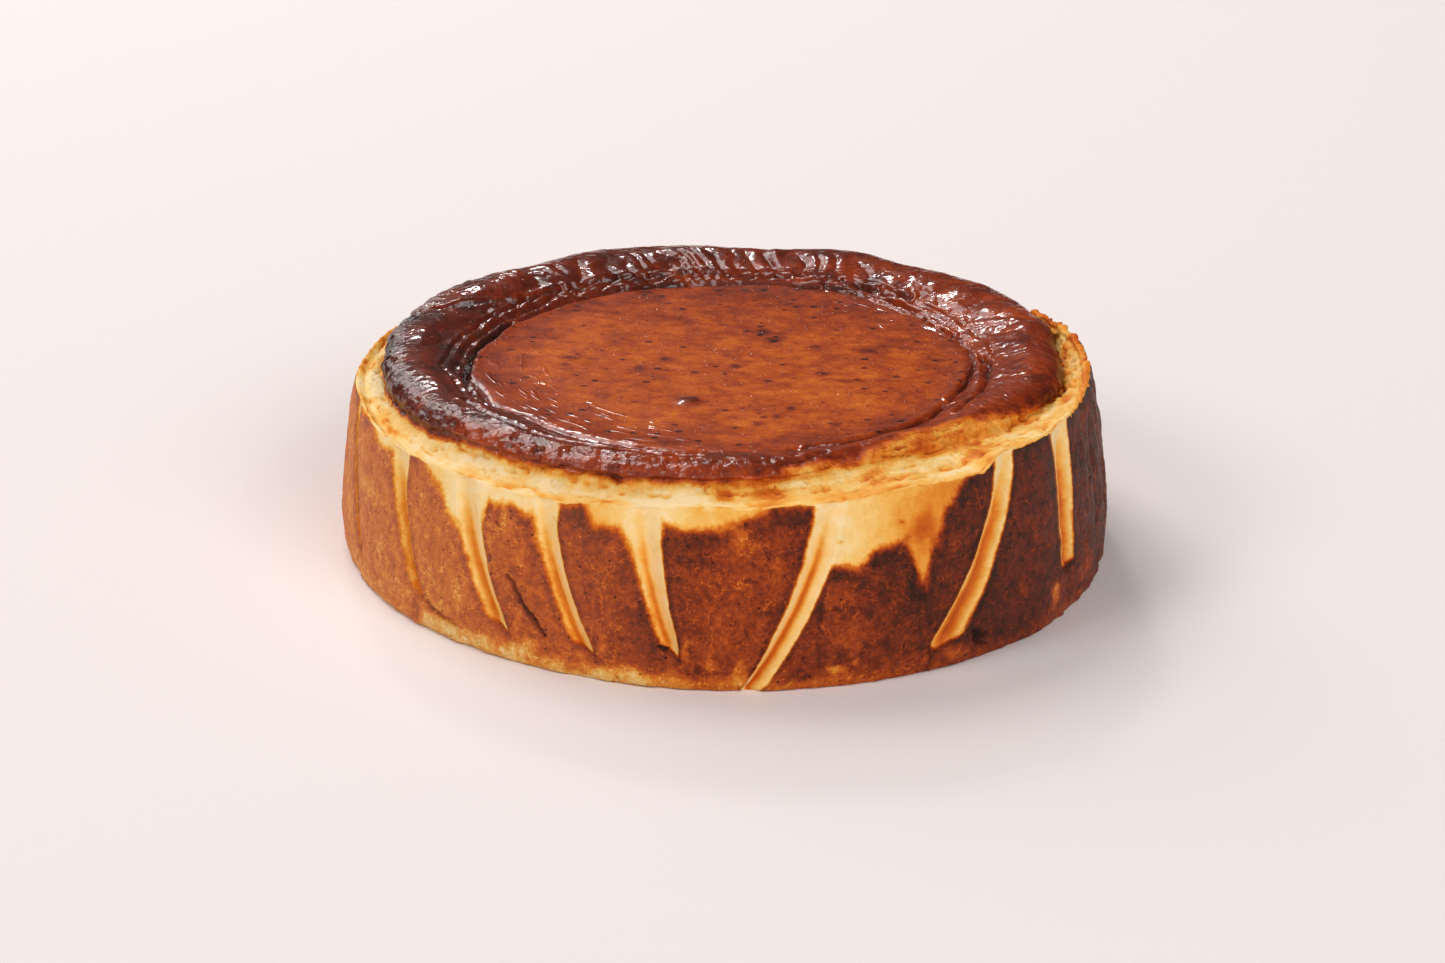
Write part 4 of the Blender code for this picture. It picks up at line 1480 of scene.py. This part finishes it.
class CHEESECAKE_OT_stage(bpy.types.Operator):
    """Add the floor, the lights and the camera"""

    bl_idname = "cheesecake.stage"
    bl_label = "Stage"

    def execute(self, context):
        scene = context.scene
        settings = scene.cheesecake_stage
        bpy.ops.object.select_all(action="DESELECT")
        bpy.ops.mesh.primitive_plane_add(size=FLOOR_SIZE, location=(0.0, 0.0, 0.0))
        floor = context.object
        floor.name = "floor"
        floor.data.materials.append(floor_material(settings.floor_colour))
        for name, (size, place, colour) in LIGHTS.items():
            soft_box(name, getattr(settings, name + "_power"), size, place, colour)
        soft_sky()

        camera_data = bpy.data.cameras.new("camera")
        camera_data.lens = settings.focal_length
        camera_data.sensor_width = SENSOR_WIDTH
        camera = bpy.data.objects.new("camera", camera_data)
        scene.collection.objects.link(camera)
        tilt = Matrix.Rotation(math.radians(CAMERA_TILT), 4, "X")
        roll = Matrix.Rotation(math.radians(CAMERA_ROLL), 4, "Z")
        camera.matrix_world = Matrix.Translation(CAMERA_PLACE) @ tilt @ roll
        scene.camera = camera
        scene.view_settings.view_transform = "Standard"
        return {"FINISHED"}


class CHEESECAKE_PT_panel(bpy.types.Panel):
    """Lists what the add-on makes and its sizes and colours"""

    bl_idname = "CHEESECAKE_PT_panel"
    bl_label = "Cheesecake"
    bl_space_type = "VIEW_3D"
    bl_region_type = "UI"
    bl_category = "Cheesecake"

    def draw(self, context):
        layout = self.layout
        for operator in (CHEESECAKE_OT_cake, CHEESECAKE_OT_stage):
            layout.operator(operator.bl_idname)
        for group in ("cheesecake_sizes", "cheesecake_crust", "cheesecake_stage"):
            box = layout.box()
            settings = getattr(context.scene, group)
            for name in settings.__annotations__:
                box.prop(settings, name)


CLASSES = (
    CheesecakeSizes,
    CheesecakeCrust,
    CheesecakeStage,
    CHEESECAKE_OT_cake,
    CHEESECAKE_OT_stage,
    CHEESECAKE_PT_panel,
)


def register():
    for each in CLASSES:
        bpy.utils.register_class(each)
    bpy.types.Scene.cheesecake_sizes = bpy.props.PointerProperty(type=CheesecakeSizes)
    bpy.types.Scene.cheesecake_crust = bpy.props.PointerProperty(type=CheesecakeCrust)
    bpy.types.Scene.cheesecake_stage = bpy.props.PointerProperty(type=CheesecakeStage)


def unregister():
    del bpy.types.Scene.cheesecake_stage
    del bpy.types.Scene.cheesecake_crust
    del bpy.types.Scene.cheesecake_sizes
    for each in reversed(CLASSES):
        bpy.utils.unregister_class(each)


def main():
    register()
    bpy.ops.cheesecake.cake()
    bpy.ops.cheesecake.stage()


if __name__ == "__main__":
    main()
